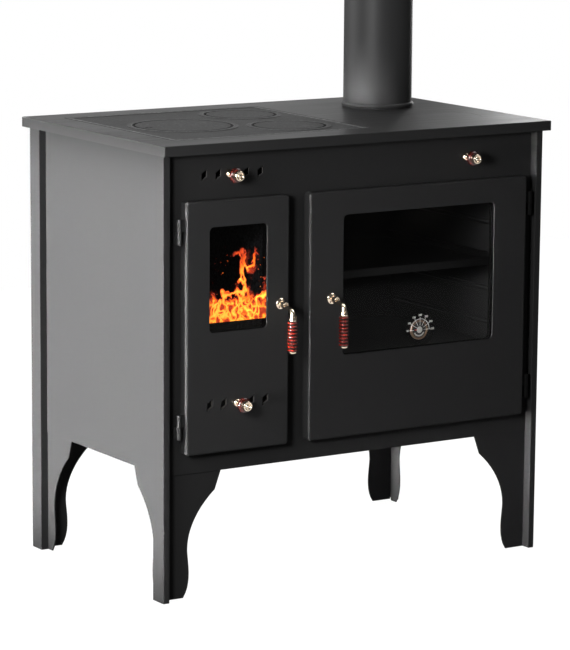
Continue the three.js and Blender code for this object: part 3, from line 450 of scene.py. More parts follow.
@dataclass(frozen=True)
class CastIron(Finish):
    """Blackened cast iron: a stippled skin, worn smooth on its machined rings, and dark at its joints,
    partly sooty and partly painted shade in the gaps between the parts.
    """

    rings: tuple[Ring, ...] = ()
    joints: tuple[Ring, ...] = ()
    soot_and_shade: Colour = (0.003, 0.003, 0.003)
    sheen: float = 0.07
    stipple_scale: float = 420.0
    stipple_depth: float = 0.00022
    machined: Colour = (0.09, 0.09, 0.0908)
    border: float = 0.0
    low: tuple[float, float] = (0.0, 0.0)
    high: tuple[float, float] = (0.0, 0.0)
    blend: float = 0.006
    lip: float = 0.0025
    seam: float = 0.0022
    soft: float = 0.0003
    cloud_scale: float = 14.0
    mottle_scale: float = 190.0
    turning_pitch: float = 0.0011
    turning_depth: float = 0.00001

    def _joint_mask(self, tree: FinishTree) -> Value | float:
        """Where the joints are painted dark: partly sooty, partly painted shade in the gaps between the
        parts.

        Args:
            tree: The finish's nodes.

        Returns:
            The mask.
        """
        mask = 0.0
        if self.border:
            mask = self._beside(tree).ramped(self.seam + self.soft, self.seam)
        for ring in self.joints:
            radius = tree.radius(ring.x, ring.y)
            here = radius.ramped(ring.inner - self.soft, ring.inner)
            here = here * radius.ramped(ring.outer + self.soft, ring.outer)
            mask = here.most(mask)
        return mask

    def _beside(self, tree: FinishTree) -> Value:
        """How far inside the plate's outer edges a point is.

        Args:
            tree: The finish's nodes.

        Returns:
            The distance.
        """
        across, along, _ = tree.split(tree.place())
        beside = (across - self.low[0]).least(self.high[0] - across)
        return beside.least(along - self.low[1]).least(self.high[1] - along)

    def _ring_mask(self, tree: FinishTree) -> tuple[Value, Value]:
        """Where the iron is machined, and the turning marks on its rings.

        Args:
            tree: The finish's nodes.

        Returns:
            The mask and the height of the marks.
        """
        half = self.blend / 2
        rough = 1.0 - self._beside(tree).ramped(self.border + half, self.border - half)
        height = 0.5
        for ring in self.rings:
            radius = tree.radius(ring.x, ring.y)
            here = radius.ramped(ring.outer + half, ring.outer - half)
            here = here * (radius.ramped(ring.inner + 2 * self.lip, ring.inner + self.lip) * 0.6 + 0.4)
            rough = rough * (1.0 - here)
            height = (radius * (FULL_TURN / self.turning_pitch)).wave() * here * 0.5 + height
        return 1.0 - rough, height

    def fill(self, tree: FinishTree) -> None:
        """Adds the iron's nodes."""
        clouds = tree.noise(self.cloud_scale, 4.0)
        stipple = tree.cells(self.stipple_scale)
        grit = tree.noise(self.stipple_scale * 2, 3.0)
        mottle = tree.noise(self.mottle_scale, 5.0).ramped(0.36, 0.64)
        skin = stipple * 0.8 + grit * 0.5 + mottle
        lightness = (clouds - 0.5) * 0.5 + mottle * 0.8 + stipple * 0.3 - 0.05
        cast = tree.blended(lightness, shade(self.colour, 0.35), shade(self.colour, 1.8))
        # Joint mask: darkens the joints as sooty iron and as painted shade in the gaps between the parts.
        joint_soot_and_shade = self._joint_mask(tree)
        if not self.rings:
            tree.surface(
                Base_Color=tree.blended(joint_soot_and_shade, cast, self.soot_and_shade),
                Roughness=(clouds - 0.5) * 0.2 + (mottle - 0.5) * 0.3 + joint_soot_and_shade * 0.3 + self.roughness,
                Specular_IOR_Level=self.sheen,
                Normal=tree.bump(skin, self.stipple_depth),
            )
            return
        mask, marks = self._ring_mask(tree)
        wear = (mask * (clouds * 0.9 + 0.35)).least(1.0)
        worn = tree.bump(marks, self.turning_depth)
        tree.surface(
            Base_Color=tree.blended(joint_soot_and_shade, tree.blended(wear, cast, self.machined), self.soot_and_shade),
            Roughness=(mottle - 0.5) * 0.3 + joint_soot_and_shade * 0.3 + self.roughness - wear * 0.14,
            Metallic=wear * (1.0 - joint_soot_and_shade) * 0.12,
            Specular_IOR_Level=self.sheen,
            Normal=tree.bump(skin * (1.0 - mask), self.stipple_depth, worn),
        )


@dataclass(frozen=True)
class Metal(Finish):
    """Plated or bare metal with faint smears and fine scratches."""

    smear_scale: float = 60.0
    scratch: Point = (900.0, 900.0, 40.0)
    scratch_depth: float = 0.000004
    smear_share: float = 0.1
    dull_share: float = 0.2

    def fill(self, tree: FinishTree) -> None:
        """Adds the metal's nodes."""
        smears = tree.noise(self.smear_scale, 4.0)
        scratches = tree.noise(1.0, 3.0, tree.stretched(self.scratch))
        tarnish = smears.ramped(0.35, 0.75)
        tree.surface(
            Base_Color=tree.blended(tarnish, self.colour, shade(self.colour, 1 - self.dull_share)),
            Metallic=1.0,
            Roughness=(smears - 0.5) * self.smear_share + (scratches - 0.5) * 0.04 + self.roughness,
            Normal=tree.bump(scratches, self.scratch_depth),
        )


@dataclass(frozen=True)
class Gloss(Finish):
    """Glossy lacquer or moulded composite with depth in its colour."""

    marbling: Colour = (0.035, 0.004, 0.003)
    marble_scale: float = 90.0
    haze_scale: float = 400.0
    coat: float = 0.6
    coat_roughness: float = 0.05
    haze_depth: float = 0.000008

    def fill(self, tree: FinishTree) -> None:
        """Adds the gloss's nodes."""
        veins = tree.noise(self.marble_scale, 5.0)
        haze = tree.noise(self.haze_scale, 2.0)
        tree.surface(
            Base_Color=tree.blended(veins.ramped(0.4, 0.75), self.colour, self.marbling),
            Roughness=(haze - 0.5) * 0.1 + self.roughness,
            Specular_IOR_Level=0.35,
            Coat_Weight=self.coat,
            Coat_Roughness=self.coat_roughness,
            Normal=tree.bump(haze, self.haze_depth),
        )


@dataclass(frozen=True)
class RibbedGloss(Gloss):
    """Gloss on turned ribs, with the grooves between them painted dark as painted shade."""

    x: float = 0.0
    y: float = 0.0
    groove: float = 0.0
    crest: float = 1.0
    soot_and_shade: Colour = (0.004, 0.002, 0.002)

    def fill(self, tree: FinishTree) -> None:
        """Adds the gloss's nodes."""
        proud = tree.radius(self.x, self.y).ramped(self.groove, self.crest)
        veins = tree.noise(self.marble_scale, 5.0).ramped(0.4, 0.75)
        haze = tree.noise(self.haze_scale, 2.0)
        red = tree.blended(veins * 0.5, self.colour, self.marbling)
        tree.surface(
            # The grooves take the dark colour: painted shade in the hollows between the ribs.
            Base_Color=tree.blended(proud, self.soot_and_shade, red),
            Roughness=(haze - 0.5) * 0.1 + (1.0 - proud) * 0.5 + self.roughness,
            Specular_IOR_Level=0.15,
            Coat_Weight=proud * self.coat,
            Coat_Roughness=self.coat_roughness,
            Normal=tree.bump(haze, self.haze_depth / 2),
        )


@dataclass(frozen=True)
class PlainPrint(Finish):
    """A thin print or a painted dial, with the faint unevenness of screen ink."""

    ink_scale: float = 900.0
    ink_depth: float = 0.000006

    def fill(self, tree: FinishTree) -> None:
        """Adds the ink's nodes."""
        ink = tree.noise(self.ink_scale, 3.0)
        tree.surface(
            Base_Color=tree.blended(ink, shade(self.colour, 0.8), shade(self.colour, 1.15)),
            Roughness=(ink - 0.5) * 0.1 + self.roughness,
            Normal=tree.bump(ink, self.ink_depth),
        )


@dataclass(frozen=True)
class DarkGlass(Finish):
    """Dark glass-ceramic: a glossy pane that lets part of the light through, with faint smoke marks."""

    opacity: float = 0.5
    smoke_tint: Colour = (0.012, 0.011, 0.01)
    smoke_scale: float = 7.0
    dust_scale: float = 500.0

    def fill(self, tree: FinishTree) -> None:
        """Adds the glass's nodes."""
        smoke = tree.noise(self.smoke_scale, 5.0)
        dust = tree.noise(self.dust_scale, 3.0)
        tree.surface(
            Base_Color=tree.blended(smoke.ramped(0.45, 0.9), self.colour, self.smoke_tint),
            Roughness=(dust - 0.5) * 0.04 + self.roughness,
            Alpha=(smoke - 0.5) * 0.12 * self.opacity + self.opacity,
            Specular_IOR_Level=0.12,
        )


@dataclass(frozen=True)
class BraidedFibre(Finish):
    """Braided glass-fibre rope, greyed by smoke."""

    soot_and_shade: Colour = (0.02, 0.018, 0.016)
    smoke_scale: float = 18.0
    strand_scale: float = 1600.0
    strand_depth: float = 0.0002

    def fill(self, tree: FinishTree) -> None:
        """Adds the fibre's nodes."""
        strands = tree.noise(self.strand_scale, 3.0)
        smoke = tree.noise(self.smoke_scale, 4.0)
        fibre = tree.blended(strands, shade(self.colour, 0.5), shade(self.colour, 1.6))
        tree.surface(
            Base_Color=tree.blended(smoke.ramped(0.35, 0.8), fibre, self.soot_and_shade),
            Roughness=(strands - 0.5) * 0.1 + self.roughness,
            Sheen_Weight=0.3,
            Normal=tree.bump(strands, self.strand_depth),
        )


@dataclass(frozen=True)
class MillSteel(Finish):
    """Bare rolled steel with heat tints and light rust in its clouds."""

    tint: Colour = (0.11, 0.085, 0.07)
    metallic: float = 0.75
    cloud_scale: float = 9.0
    rolling: Point = (14.0, 14.0, 260.0)
    rolled_depth: float = 0.00003

    def fill(self, tree: FinishTree) -> None:
        """Adds the steel's nodes."""
        clouds = tree.noise(self.cloud_scale, 5.0)
        rolled = tree.noise(1.0, 4.0, tree.stretched(self.rolling))
        steel = tree.blended(rolled, shade(self.colour, 0.7), shade(self.colour, 1.25))
        tree.surface(
            Base_Color=tree.blended(clouds.ramped(0.4, 0.8), steel, self.tint),
            Metallic=self.metallic,
            Roughness=(clouds - 0.5) * 0.3 + (rolled - 0.5) * 0.1 + self.roughness,
            Normal=tree.bump(rolled, self.rolled_depth),
        )


@dataclass(frozen=True)
class OvenEnamel(Finish):
    """Fired enamel with fine specks and a soft orange peel, darkened by painted shade towards the back and
    the floor.
    """

    speck: Colour = (0.05, 0.05, 0.052)
    soot_and_shade: Colour = (0.006, 0.006, 0.006)
    unshaded_depth: tuple[float, float] = (-0.2, 0.03)
    unshaded_height: tuple[float, float] = (0.36, 0.42)
    speck_scale: float = 620.0
    patch_scale: float = 6.0
    peel_scale: float = 240.0
    peel_depth: float = 0.000004

    def fill(self, tree: FinishTree) -> None:
        """Adds the enamel's nodes; painted shade darkens it towards the back and the floor, where the oven
        lies in shadow.
        """
        _, depth, height = tree.split(tree.place())
        specks = tree.cells(self.speck_scale)
        peel = tree.noise(self.peel_scale, 2.0)
        patches = tree.noise(self.patch_scale, 3.0)
        # clean is the front and upper part, which keeps the enamel's colour; the rest takes the dark
        # colour as painted shade.
        clean = depth.ramped(self.unshaded_depth[1], self.unshaded_depth[0]) * height.ramped(*self.unshaded_height)
        enamel = tree.blended(patches, shade(self.colour, 0.75), shade(self.colour, 1.25))
        base = tree.blended(clean * (patches * 0.4 + 0.8), self.soot_and_shade, enamel)
        tree.surface(
            Base_Color=tree.blended(specks.ramped(0.09, 0.05), base, self.speck),
            Roughness=(peel - 0.5) * 0.15 + self.roughness,
            Coat_Weight=0.05,
            Normal=tree.bump(peel, self.peel_depth),
        )


@dataclass(frozen=True)
class EmberPrint(Finish):
    """A plain warm design for the firebox glass: cracked glowing coals with wisps and sparks over them,
    which also gives off light as a painted glow.
    """

    low: float = 0.0
    high: float = 1.0
    deep: Colour = (0.35, 0.02, 0.0)
    warm: Colour = (1.0, 0.16, 0.005)
    bright: Colour = (1.0, 0.55, 0.06)
    bend_scale: float = 13.0
    grain_scale: float = 150.0
    lump_scale: float = 24.0
    coal_scale: float = 70.0
    wisp_scale: float = 22.0
    veil_scale: float = 34.0
    spark_scale: float = 130.0
    warp: float = 0.05
    lean: Point = (1.0, 1.0, 0.6)
    painted_glow: float = 0.75

    def fill(self, tree: FinishTree) -> None:
        """Adds the design's nodes."""
        _, _, height = tree.split(tree.place())
        share = (height - self.low) / (self.high - self.low)
        bend = tree.noise(self.bend_scale, 2.0)
        grain = tree.noise(self.grain_scale, 4.0)
        lumps = tree.node(
            "ShaderNodeTexNoise",
            sockets={"Vector": tree.place(), "Scale": self.lump_scale, "Detail": 3.0},
            output="Color",
        )
        warped = tree.node(
            "ShaderNodeVectorMath",
            {"operation": "MULTIPLY_ADD"},
            {
                "Vector": lumps,
                "Vector_001": (self.warp, self.warp, self.warp),
                "Vector_002": tree.stretched(self.lean),
            },
        )
        coals = tree.cells(self.coal_scale, warped, "DISTANCE_TO_EDGE").ramped(0.2, 0.0)
        line = share + (bend - 0.5) * 1.1
        bed = line.ramped(0.34, 0.16)
        ridge = (tree.noise(self.wisp_scale, 2.0, warped) - 0.5).size().ramped(0.05, 0.0)
        veil = tree.noise(self.veil_scale, 3.0, warped).ramped(0.48, 0.75)
        reach = line.ramped(0.7, 0.4) * share.ramped(0.97, 0.7)
        sparks = tree.cells(self.spark_scale).ramped(0.14, 0.05)
        sparks = sparks * share.ramped(1.0, 0.6) * bend.ramped(0.4, 0.6)
        flames = (ridge * 0.85 + veil * 0.3) * reach
        heat = (bed * (coals * 0.6 + 0.25) * (grain * 0.6 + 0.7)).most(flames).most(sparks * 0.8)
        stops = (
            (0.0, (0.0, 0.0, 0.0)),
            (0.25, self.deep),
            (0.6, self.warm),
            (1.0, self.bright),
        )
        colour = tree.node("ShaderNodeValToRGB", {"stops": stops}, {"Fac": heat}, "Color")
        tree.surface(
            Base_Color=colour,
            # The print emits its own colour: a painted glow, though it is no lamp.
            Emission_Color=colour,
            Emission_Strength=self.painted_glow,
            Roughness=(bend - 0.5) * 0.1 + self.roughness,
            Alpha=heat.ramped(0.06, 0.3),
        )


class Finishes:
    """All finishes of the stove."""

    casing = StovePaint("casing anthracite", Slot.CASING, (0.0222, 0.0222, 0.0224), 0.6, sheen=0.015)
    hob = StovePaint(
        "hob satin",
        Slot.HOB,
        (0.024, 0.024, 0.0242),
        0.42,
        streak_share=0.25,
        streak=(3.0, 70.0, 3.0),
        sheen=0.04,
    )
    pipe = StovePaint(
        "pipe anthracite",
        Slot.PIPE,
        (0.028, 0.028, 0.0283),
        0.5,
        streak_share=0.3,
        streak=(75.0, 75.0, 2.0),
        sheen=0.12,
    )
    iron = CastIron("rough cast iron", Slot.CAST, (0.035, 0.035, 0.037), 0.72)
    # Near-black copy of the casing paint for the oven door's hinges: painted shade, as they sit in the
    # door's shadow.
    hinge = StovePaint("hinge black", Slot.CASING, (0.005, 0.005, 0.005), 0.6, sheen=0.015)
    nickel = Metal("nickel plate", Slot.NICKEL, (0.88, 0.74, 0.58), 0.16)
    copper = Metal("copper ring", Slot.COPPER, (0.2, 0.13, 0.09), 0.35)
    red_brown = Gloss("red-brown gloss", Slot.RED_BROWN, (0.028, 0.0026, 0.0013), 0.2, coat=0.5)
    pointer = Gloss("pointer lacquer", Slot.POINTER, (0.9, 0.02, 0.02), 0.35, (0.7, 0.015, 0.015))
    dial = PlainPrint("dial white", Slot.DIAL, (0.62, 0.6, 0.57), 0.4)
    dial_black = PlainPrint("dial black", Slot.COPPER, (0.01, 0.01, 0.01), 0.45)
    marks = PlainPrint("scale grey", Slot.MARKS, (0.78, 0.77, 0.74), 0.5)
    glass = DarkGlass("dark glass", Slot.GLASS, (0.002, 0.002, 0.002), 0.05, opacity=0.35)
    clear = DarkGlass("clear cover", Slot.GLASS, (0.01, 0.01, 0.01), 0.08, opacity=0.08)
    rope = BraidedFibre("seal rope", Slot.ROPE, (0.16, 0.155, 0.145), 0.9)
    steel = MillSteel("mill steel", Slot.STEEL, (0.2, 0.2, 0.2), 0.5)
    liner = StovePaint("liner black", Slot.STEEL, (0.006, 0.006, 0.006), 0.6, sheen=0.02)
    enamel = OvenEnamel("oven enamel", Slot.ENAMEL, (0.16, 0.16, 0.162), 0.5)
    # A much darker copy of the oven enamel for the tray: painted shade for the tray deep in the dark oven.
    shaded_tray = OvenEnamel("tray enamel", Slot.ENAMEL, (0.022, 0.022, 0.0222), 0.5)


class Bench:
    """The modelling steps that the pieces share."""

    @staticmethod
    def clear() -> None:
        """Leaves edit mode and deselects everything."""
        if bpy.context.mode != "OBJECT":
            bpy.ops.object.mode_set(mode="OBJECT")
        bpy.ops.object.select_all(action="DESELECT")

    @staticmethod
    def hold(piece: bpy.types.Object) -> None:
        """Selects one piece alone."""
        Bench.clear()
        piece.select_set(True)
        bpy.context.view_layer.objects.active = piece

    @staticmethod
    @contextmanager
    def editing(piece: bpy.types.Object) -> Iterator[None]:
        """Edit mode on one piece, with all of it selected.

        Args:
            piece: The piece.

        Yields:
            Nothing.
        """
        Bench.hold(piece)
        bpy.ops.object.mode_set(mode="EDIT")
        bpy.ops.mesh.select_mode(type=Pick.CORNERS.value)
        bpy.ops.mesh.select_all(action="SELECT")
        yield
        bpy.ops.object.mode_set(mode="OBJECT")

    @staticmethod
    def pick(piece: bpy.types.Object, kind: Pick, test: Callable[[Vector, Vector], bool]) -> None:
        """Selects by place and direction in edit mode.

        Args:
            piece: The piece that is being edited.
            kind: Corners, edges or faces.
            test: Called with the centre, and the normal or an edge's direction.
        """
        bpy.ops.mesh.select_mode(type=kind.value)
        bpy.ops.mesh.select_all(action="DESELECT")
        mesh = bmesh.from_edit_mesh(piece.data)
        if kind is Pick.FACES:
            for face in mesh.faces:
                face.select_set(test(face.calc_center_median(), face.normal))
        elif kind is Pick.EDGES:
            for edge in mesh.edges:
                start, end = (corner.co for corner in edge.verts)
                edge.select_set(test((start + end) / 2, (end - start).normalized()))
        else:
            for corner in mesh.verts:
                corner.select_set(test(corner.co, corner.normal))
        mesh.select_flush_mode()
        bmesh.update_edit_mesh(piece.data)

    @staticmethod
    def named(name: str) -> bpy.types.Object:
        """Applies the new object's place and names it and its mesh.

        Args:
            name: The piece's name.

        Returns:
            The piece.
        """
        piece = bpy.context.object
        bpy.ops.object.transform_apply(location=True, rotation=True, scale=True)
        piece.name = name
        piece.data.name = name
        return piece

    @staticmethod
    def block(name: str, low: Sequence[float], high: Sequence[float]) -> bpy.types.Object:
        """A block between two corners, as a start for shaping or a tool for cutting.

        Args:
            name: Its name.
            low: The lowest corner.
            high: The highest corner.

        Returns:
            The block.
        """
        Bench.clear()
        low, high = Vector(low), Vector(high)
        bpy.ops.mesh.primitive_cube_add(size=1.0, location=(low + high) / 2, scale=high - low)
        return Bench.named(name)

    @staticmethod
    def round_edges(
        piece: bpy.types.Object, radius: float, segments: int, test: Callable[[Vector, Vector], bool]
    ) -> None:
        """Rounds chosen edges.

        Args:
            piece: The piece.
            radius: The radius.
            segments: The number of faces round the edge.
            test: Picks the edges by centre and direction.
        """
        with Bench.editing(piece):
            Bench.pick(piece, Pick.EDGES, test)
            bpy.ops.mesh.bevel(offset=radius, offset_type="OFFSET", segments=segments, affect="EDGES")

    @staticmethod
    def turned(
        name: str, profile: Profile, centre: Sequence[float], axis: Axis = Axis.ALONG_Z, sides: int = 64
    ) -> bpy.types.Object:
        """Draws a profile by extruding one corner, then spins it round its axis.

        Args:
            name: The piece's name.
            profile: (radius, height) pairs; a profile off the axis ends where it starts.
            centre: The point that heights count from.
            axis: The axis.
            sides: The number of steps in the turn.

        Returns:
            The piece.
        """
        heading = Vector(axis.value)
        middle = Vector(centre)
        points = [middle + Vector((radius, 0.0, 0.0)) + heading * height for radius, height in profile]
        Bench.clear()
        bpy.ops.mesh.primitive_plane_add(size=OVERRUN, location=points[0])
        piece = Bench.named(name)
        with Bench.editing(piece):
            bpy.ops.mesh.merge(type="CENTER")
            for start, end in zip(points, points[1:]):
                bpy.ops.mesh.extrude_region_move(TRANSFORM_OT_translate={"value": end - start})
            bpy.ops.mesh.select_all(action="SELECT")
            bpy.ops.mesh.spin(steps=sides, angle=FULL_TURN, center=middle, axis=heading)
            bpy.ops.mesh.select_all(action="SELECT")
            bpy.ops.mesh.remove_doubles(threshold=MERGE)
            bpy.ops.mesh.normals_make_consistent(inside=False)
        return piece

    @staticmethod
    def copied(source: bpy.types.Object, name: str) -> bpy.types.Object:
        """A copy with a mesh of its own.

        Args:
            source: The piece that is copied.
            name: The copy's name.

        Returns:
            The copy.
        """
        piece = bpy.data.objects.new(name, source.data.copy())
        piece.data.name = name
        bpy.context.scene.collection.objects.link(piece)
        return piece

    @staticmethod
    def swung(piece: bpy.types.Object, hub: Vector, angle: float) -> bpy.types.Object:
        """Turns a piece's mesh about an axis along Y.

        Args:
            piece: The piece.
            hub: A point on the axis.
            angle: The angle in degrees, from +X over +Z.

        Returns:
            The piece.
        """
        turn = Matrix.Rotation(math.radians(angle), 4, (0.0, -1.0, 0.0))
        piece.data.transform(Matrix.Translation(hub) @ turn @ Matrix.Translation(-hub))
        return piece

    @staticmethod
    def apply(piece: bpy.types.Object, kind: str, **settings: Any) -> None:
        """Adds a modifier, sets it and applies it.

        Args:
            piece: The piece.
            kind: The modifier's type.
            settings: Its properties.
        """
        Bench.hold(piece)
        modifier = piece.modifiers.new(kind.lower(), kind)
        for key, setting in settings.items():
            setattr(modifier, key, setting)
        bpy.ops.object.modifier_apply(modifier=modifier.name)

    @staticmethod
    def cut(piece: bpy.types.Object, *tools: bpy.types.Object) -> None:
        """Takes tools off a piece and removes them."""
        for tool in tools:
            Bench.apply(piece, "BOOLEAN", operation="DIFFERENCE", solver="EXACT", object=tool)
            bpy.data.meshes.remove(tool.data)

    @staticmethod
    def fused(piece: bpy.types.Object, *others: bpy.types.Object) -> bpy.types.Object:
        """Fuses pieces into the first one and removes them."""
        for other in others:
            Bench.apply(piece, "BOOLEAN", operation="UNION", solver="EXACT", object=other)
            bpy.data.meshes.remove(other.data)
        return piece

    @staticmethod
    def softened(
        piece: bpy.types.Object, width: float, segments: int = 2, angle: float = 35.0, clamped: bool = True
    ) -> bpy.types.Object:
        """Breaks the sharp edges and shades the rest smooth.

        Args:
            piece: The piece.
            width: The width of the broken edge.
            segments: The number of faces across it.
            angle: Edges that turn by more than this many degrees are sharp.
            clamped: Whether the width gives way to short edges.

        Returns:
            The piece.
        """
        Bench.apply(
            piece,
            "BEVEL",
            width=width,
            segments=segments,
            limit_method="ANGLE",
            angle_limit=math.radians(angle),
            use_clamp_overlap=clamped,
            miter_outer="MITER_ARC",
            harden_normals=False,
        )
        Bench.shaded(piece, angle)
        return piece

    @staticmethod
    def shaded(piece: bpy.types.Object, angle: float) -> None:
        """Shades a piece smooth up to an angle, with its large faces kept flat.

        Args:
            piece: The piece.
            angle: Edges that turn by more than this many degrees stay sharp.
        """
        Bench.hold(piece)
        bpy.ops.object.shade_smooth_by_angle(angle=math.radians(angle))
        Bench.apply(piece, "WEIGHTED_NORMAL", keep_sharp=True, weight=100)

    @staticmethod
    def from_node(node: str, width: float) -> bpy.types.Object:
        """A copy of a CAD node as one clean skin with softened edges.

        Args:
            node: The CAD node.
            width: The width of the softened edges; 0 leaves them sharp.

        Returns:
            The copy.
        """
        piece = Bench.copied(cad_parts[node], f"{node}_made")
        piece.data.materials.clear()
        with Bench.editing(piece):
            bpy.ops.mesh.remove_doubles(threshold=MERGE)
        if width > 0:
            Bench.softened(piece, width, clamped=False)
        return piece


def dress(piece: bpy.types.Object, finish: Finish, body: str, *nodes: str) -> bpy.types.Object:
    """Gives a new piece its finish and its body, and hides the CAD nodes that it stands for.

    Args:
        piece: The piece.
        finish: Its finish.
        body: The CAD body that carries it.
        nodes: The CAD nodes that it replaces.

    Returns:
        The piece.
    """
    piece.data.materials.clear()
    piece.data.materials.append(finish.material())
    if nodes:
        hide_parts(*nodes)
    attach(piece, body)
    LOG.info("%s rides on %s", piece.name, body)
    return piece


def keep(node: str, finish: Finish) -> None:
    """Leaves a CAD node as it is, with a better finish.

    Args:
        node: The CAD node.
        finish: Its finish.
    """
    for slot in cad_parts[node].material_slots:
        slot.material = finish.material()
    LOG.info("%s keeps its shape", node)


def refine(node: str, width: float, finish: Finish, body: str) -> None:
    """Replaces a CAD node by the same form with softened edges and a finish.

    Args:
        node: The CAD node.
        width: The width of the softened edges.
        finish: Its finish.
        body: The CAD body that carries it.
    """
    dress(Bench.from_node(node, width), finish, body, node)


def corners(node: str) -> tuple[Vector, Vector]:
    """The lowest and the highest corner of a CAD node's box."""
    low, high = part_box(node)
    return Vector(low), Vector(high)


def middle(node: str) -> Vector:
    """The middle of a CAD node's box."""
    low, high = corners(node)
    return (low + high) / 2


def facing(axis: int, sign: int = 0) -> Callable[[Vector, Vector], bool]:
    """Makes a test for faces or edges that point along an axis.

    Args:
        axis: 0, 1 or 2 for X, Y or Z.
        sign: 1 or -1 for one way only.

    Returns:
        The test.
    """

    def test(_: Vector, way: Vector) -> bool:
        """Whether a face or an edge points that way."""
        return (way[axis] * sign if sign else abs(way[axis])) > NEARLY_ONE

    return test


@dataclass
class Casing:
    """Corner posts with their legs, panels, front frame and base plate."""

    fold_radius: float = 0.002
    edge: float = 0.0006
    posts: tuple[str, ...] = ("post_front_left", "post_rear_left", "post_front_right", "post_rear_right")
    sheets: tuple[str, ...] = ("side_panel_left", "side_panel_right", "back_panel", "front_frame")

    def _post(self, node: str) -> None:
        """Rounds the folds of one post and softens its cut edges.

        Args:
            node: The post's node.
        """
        low, high = corners(node)
        outer_x = low.x if low.x < 0 else high.x
        outer_y = low.y if middle(node).y < middle("base_tray").y else high.y
        piece = Bench.from_node(node, 0.0)
        near = self.fold_radius / 2

        def is_outer_fold(centre: Vector, direction: Vector) -> bool:
            """Whether an edge is the post's outer corner."""
            upright = abs(direction.z) > NEARLY_ONE
            return upright and abs(centre.x - outer_x) < near and abs(centre.y - outer_y) < near

        Bench.round_edges(piece, self.fold_radius, FOLD_STEPS, is_outer_fold)
        Bench.softened(piece, self.edge)
        dress(piece, Finishes.casing, "casing", node)

    def build(self) -> None:
        """Makes the casing."""
        for node in self.posts:
            self._post(node)
        for node in self.sheets:
            refine(node, self.edge / 2, Finishes.casing, "casing")
        keep("base_tray", Finishes.steel)


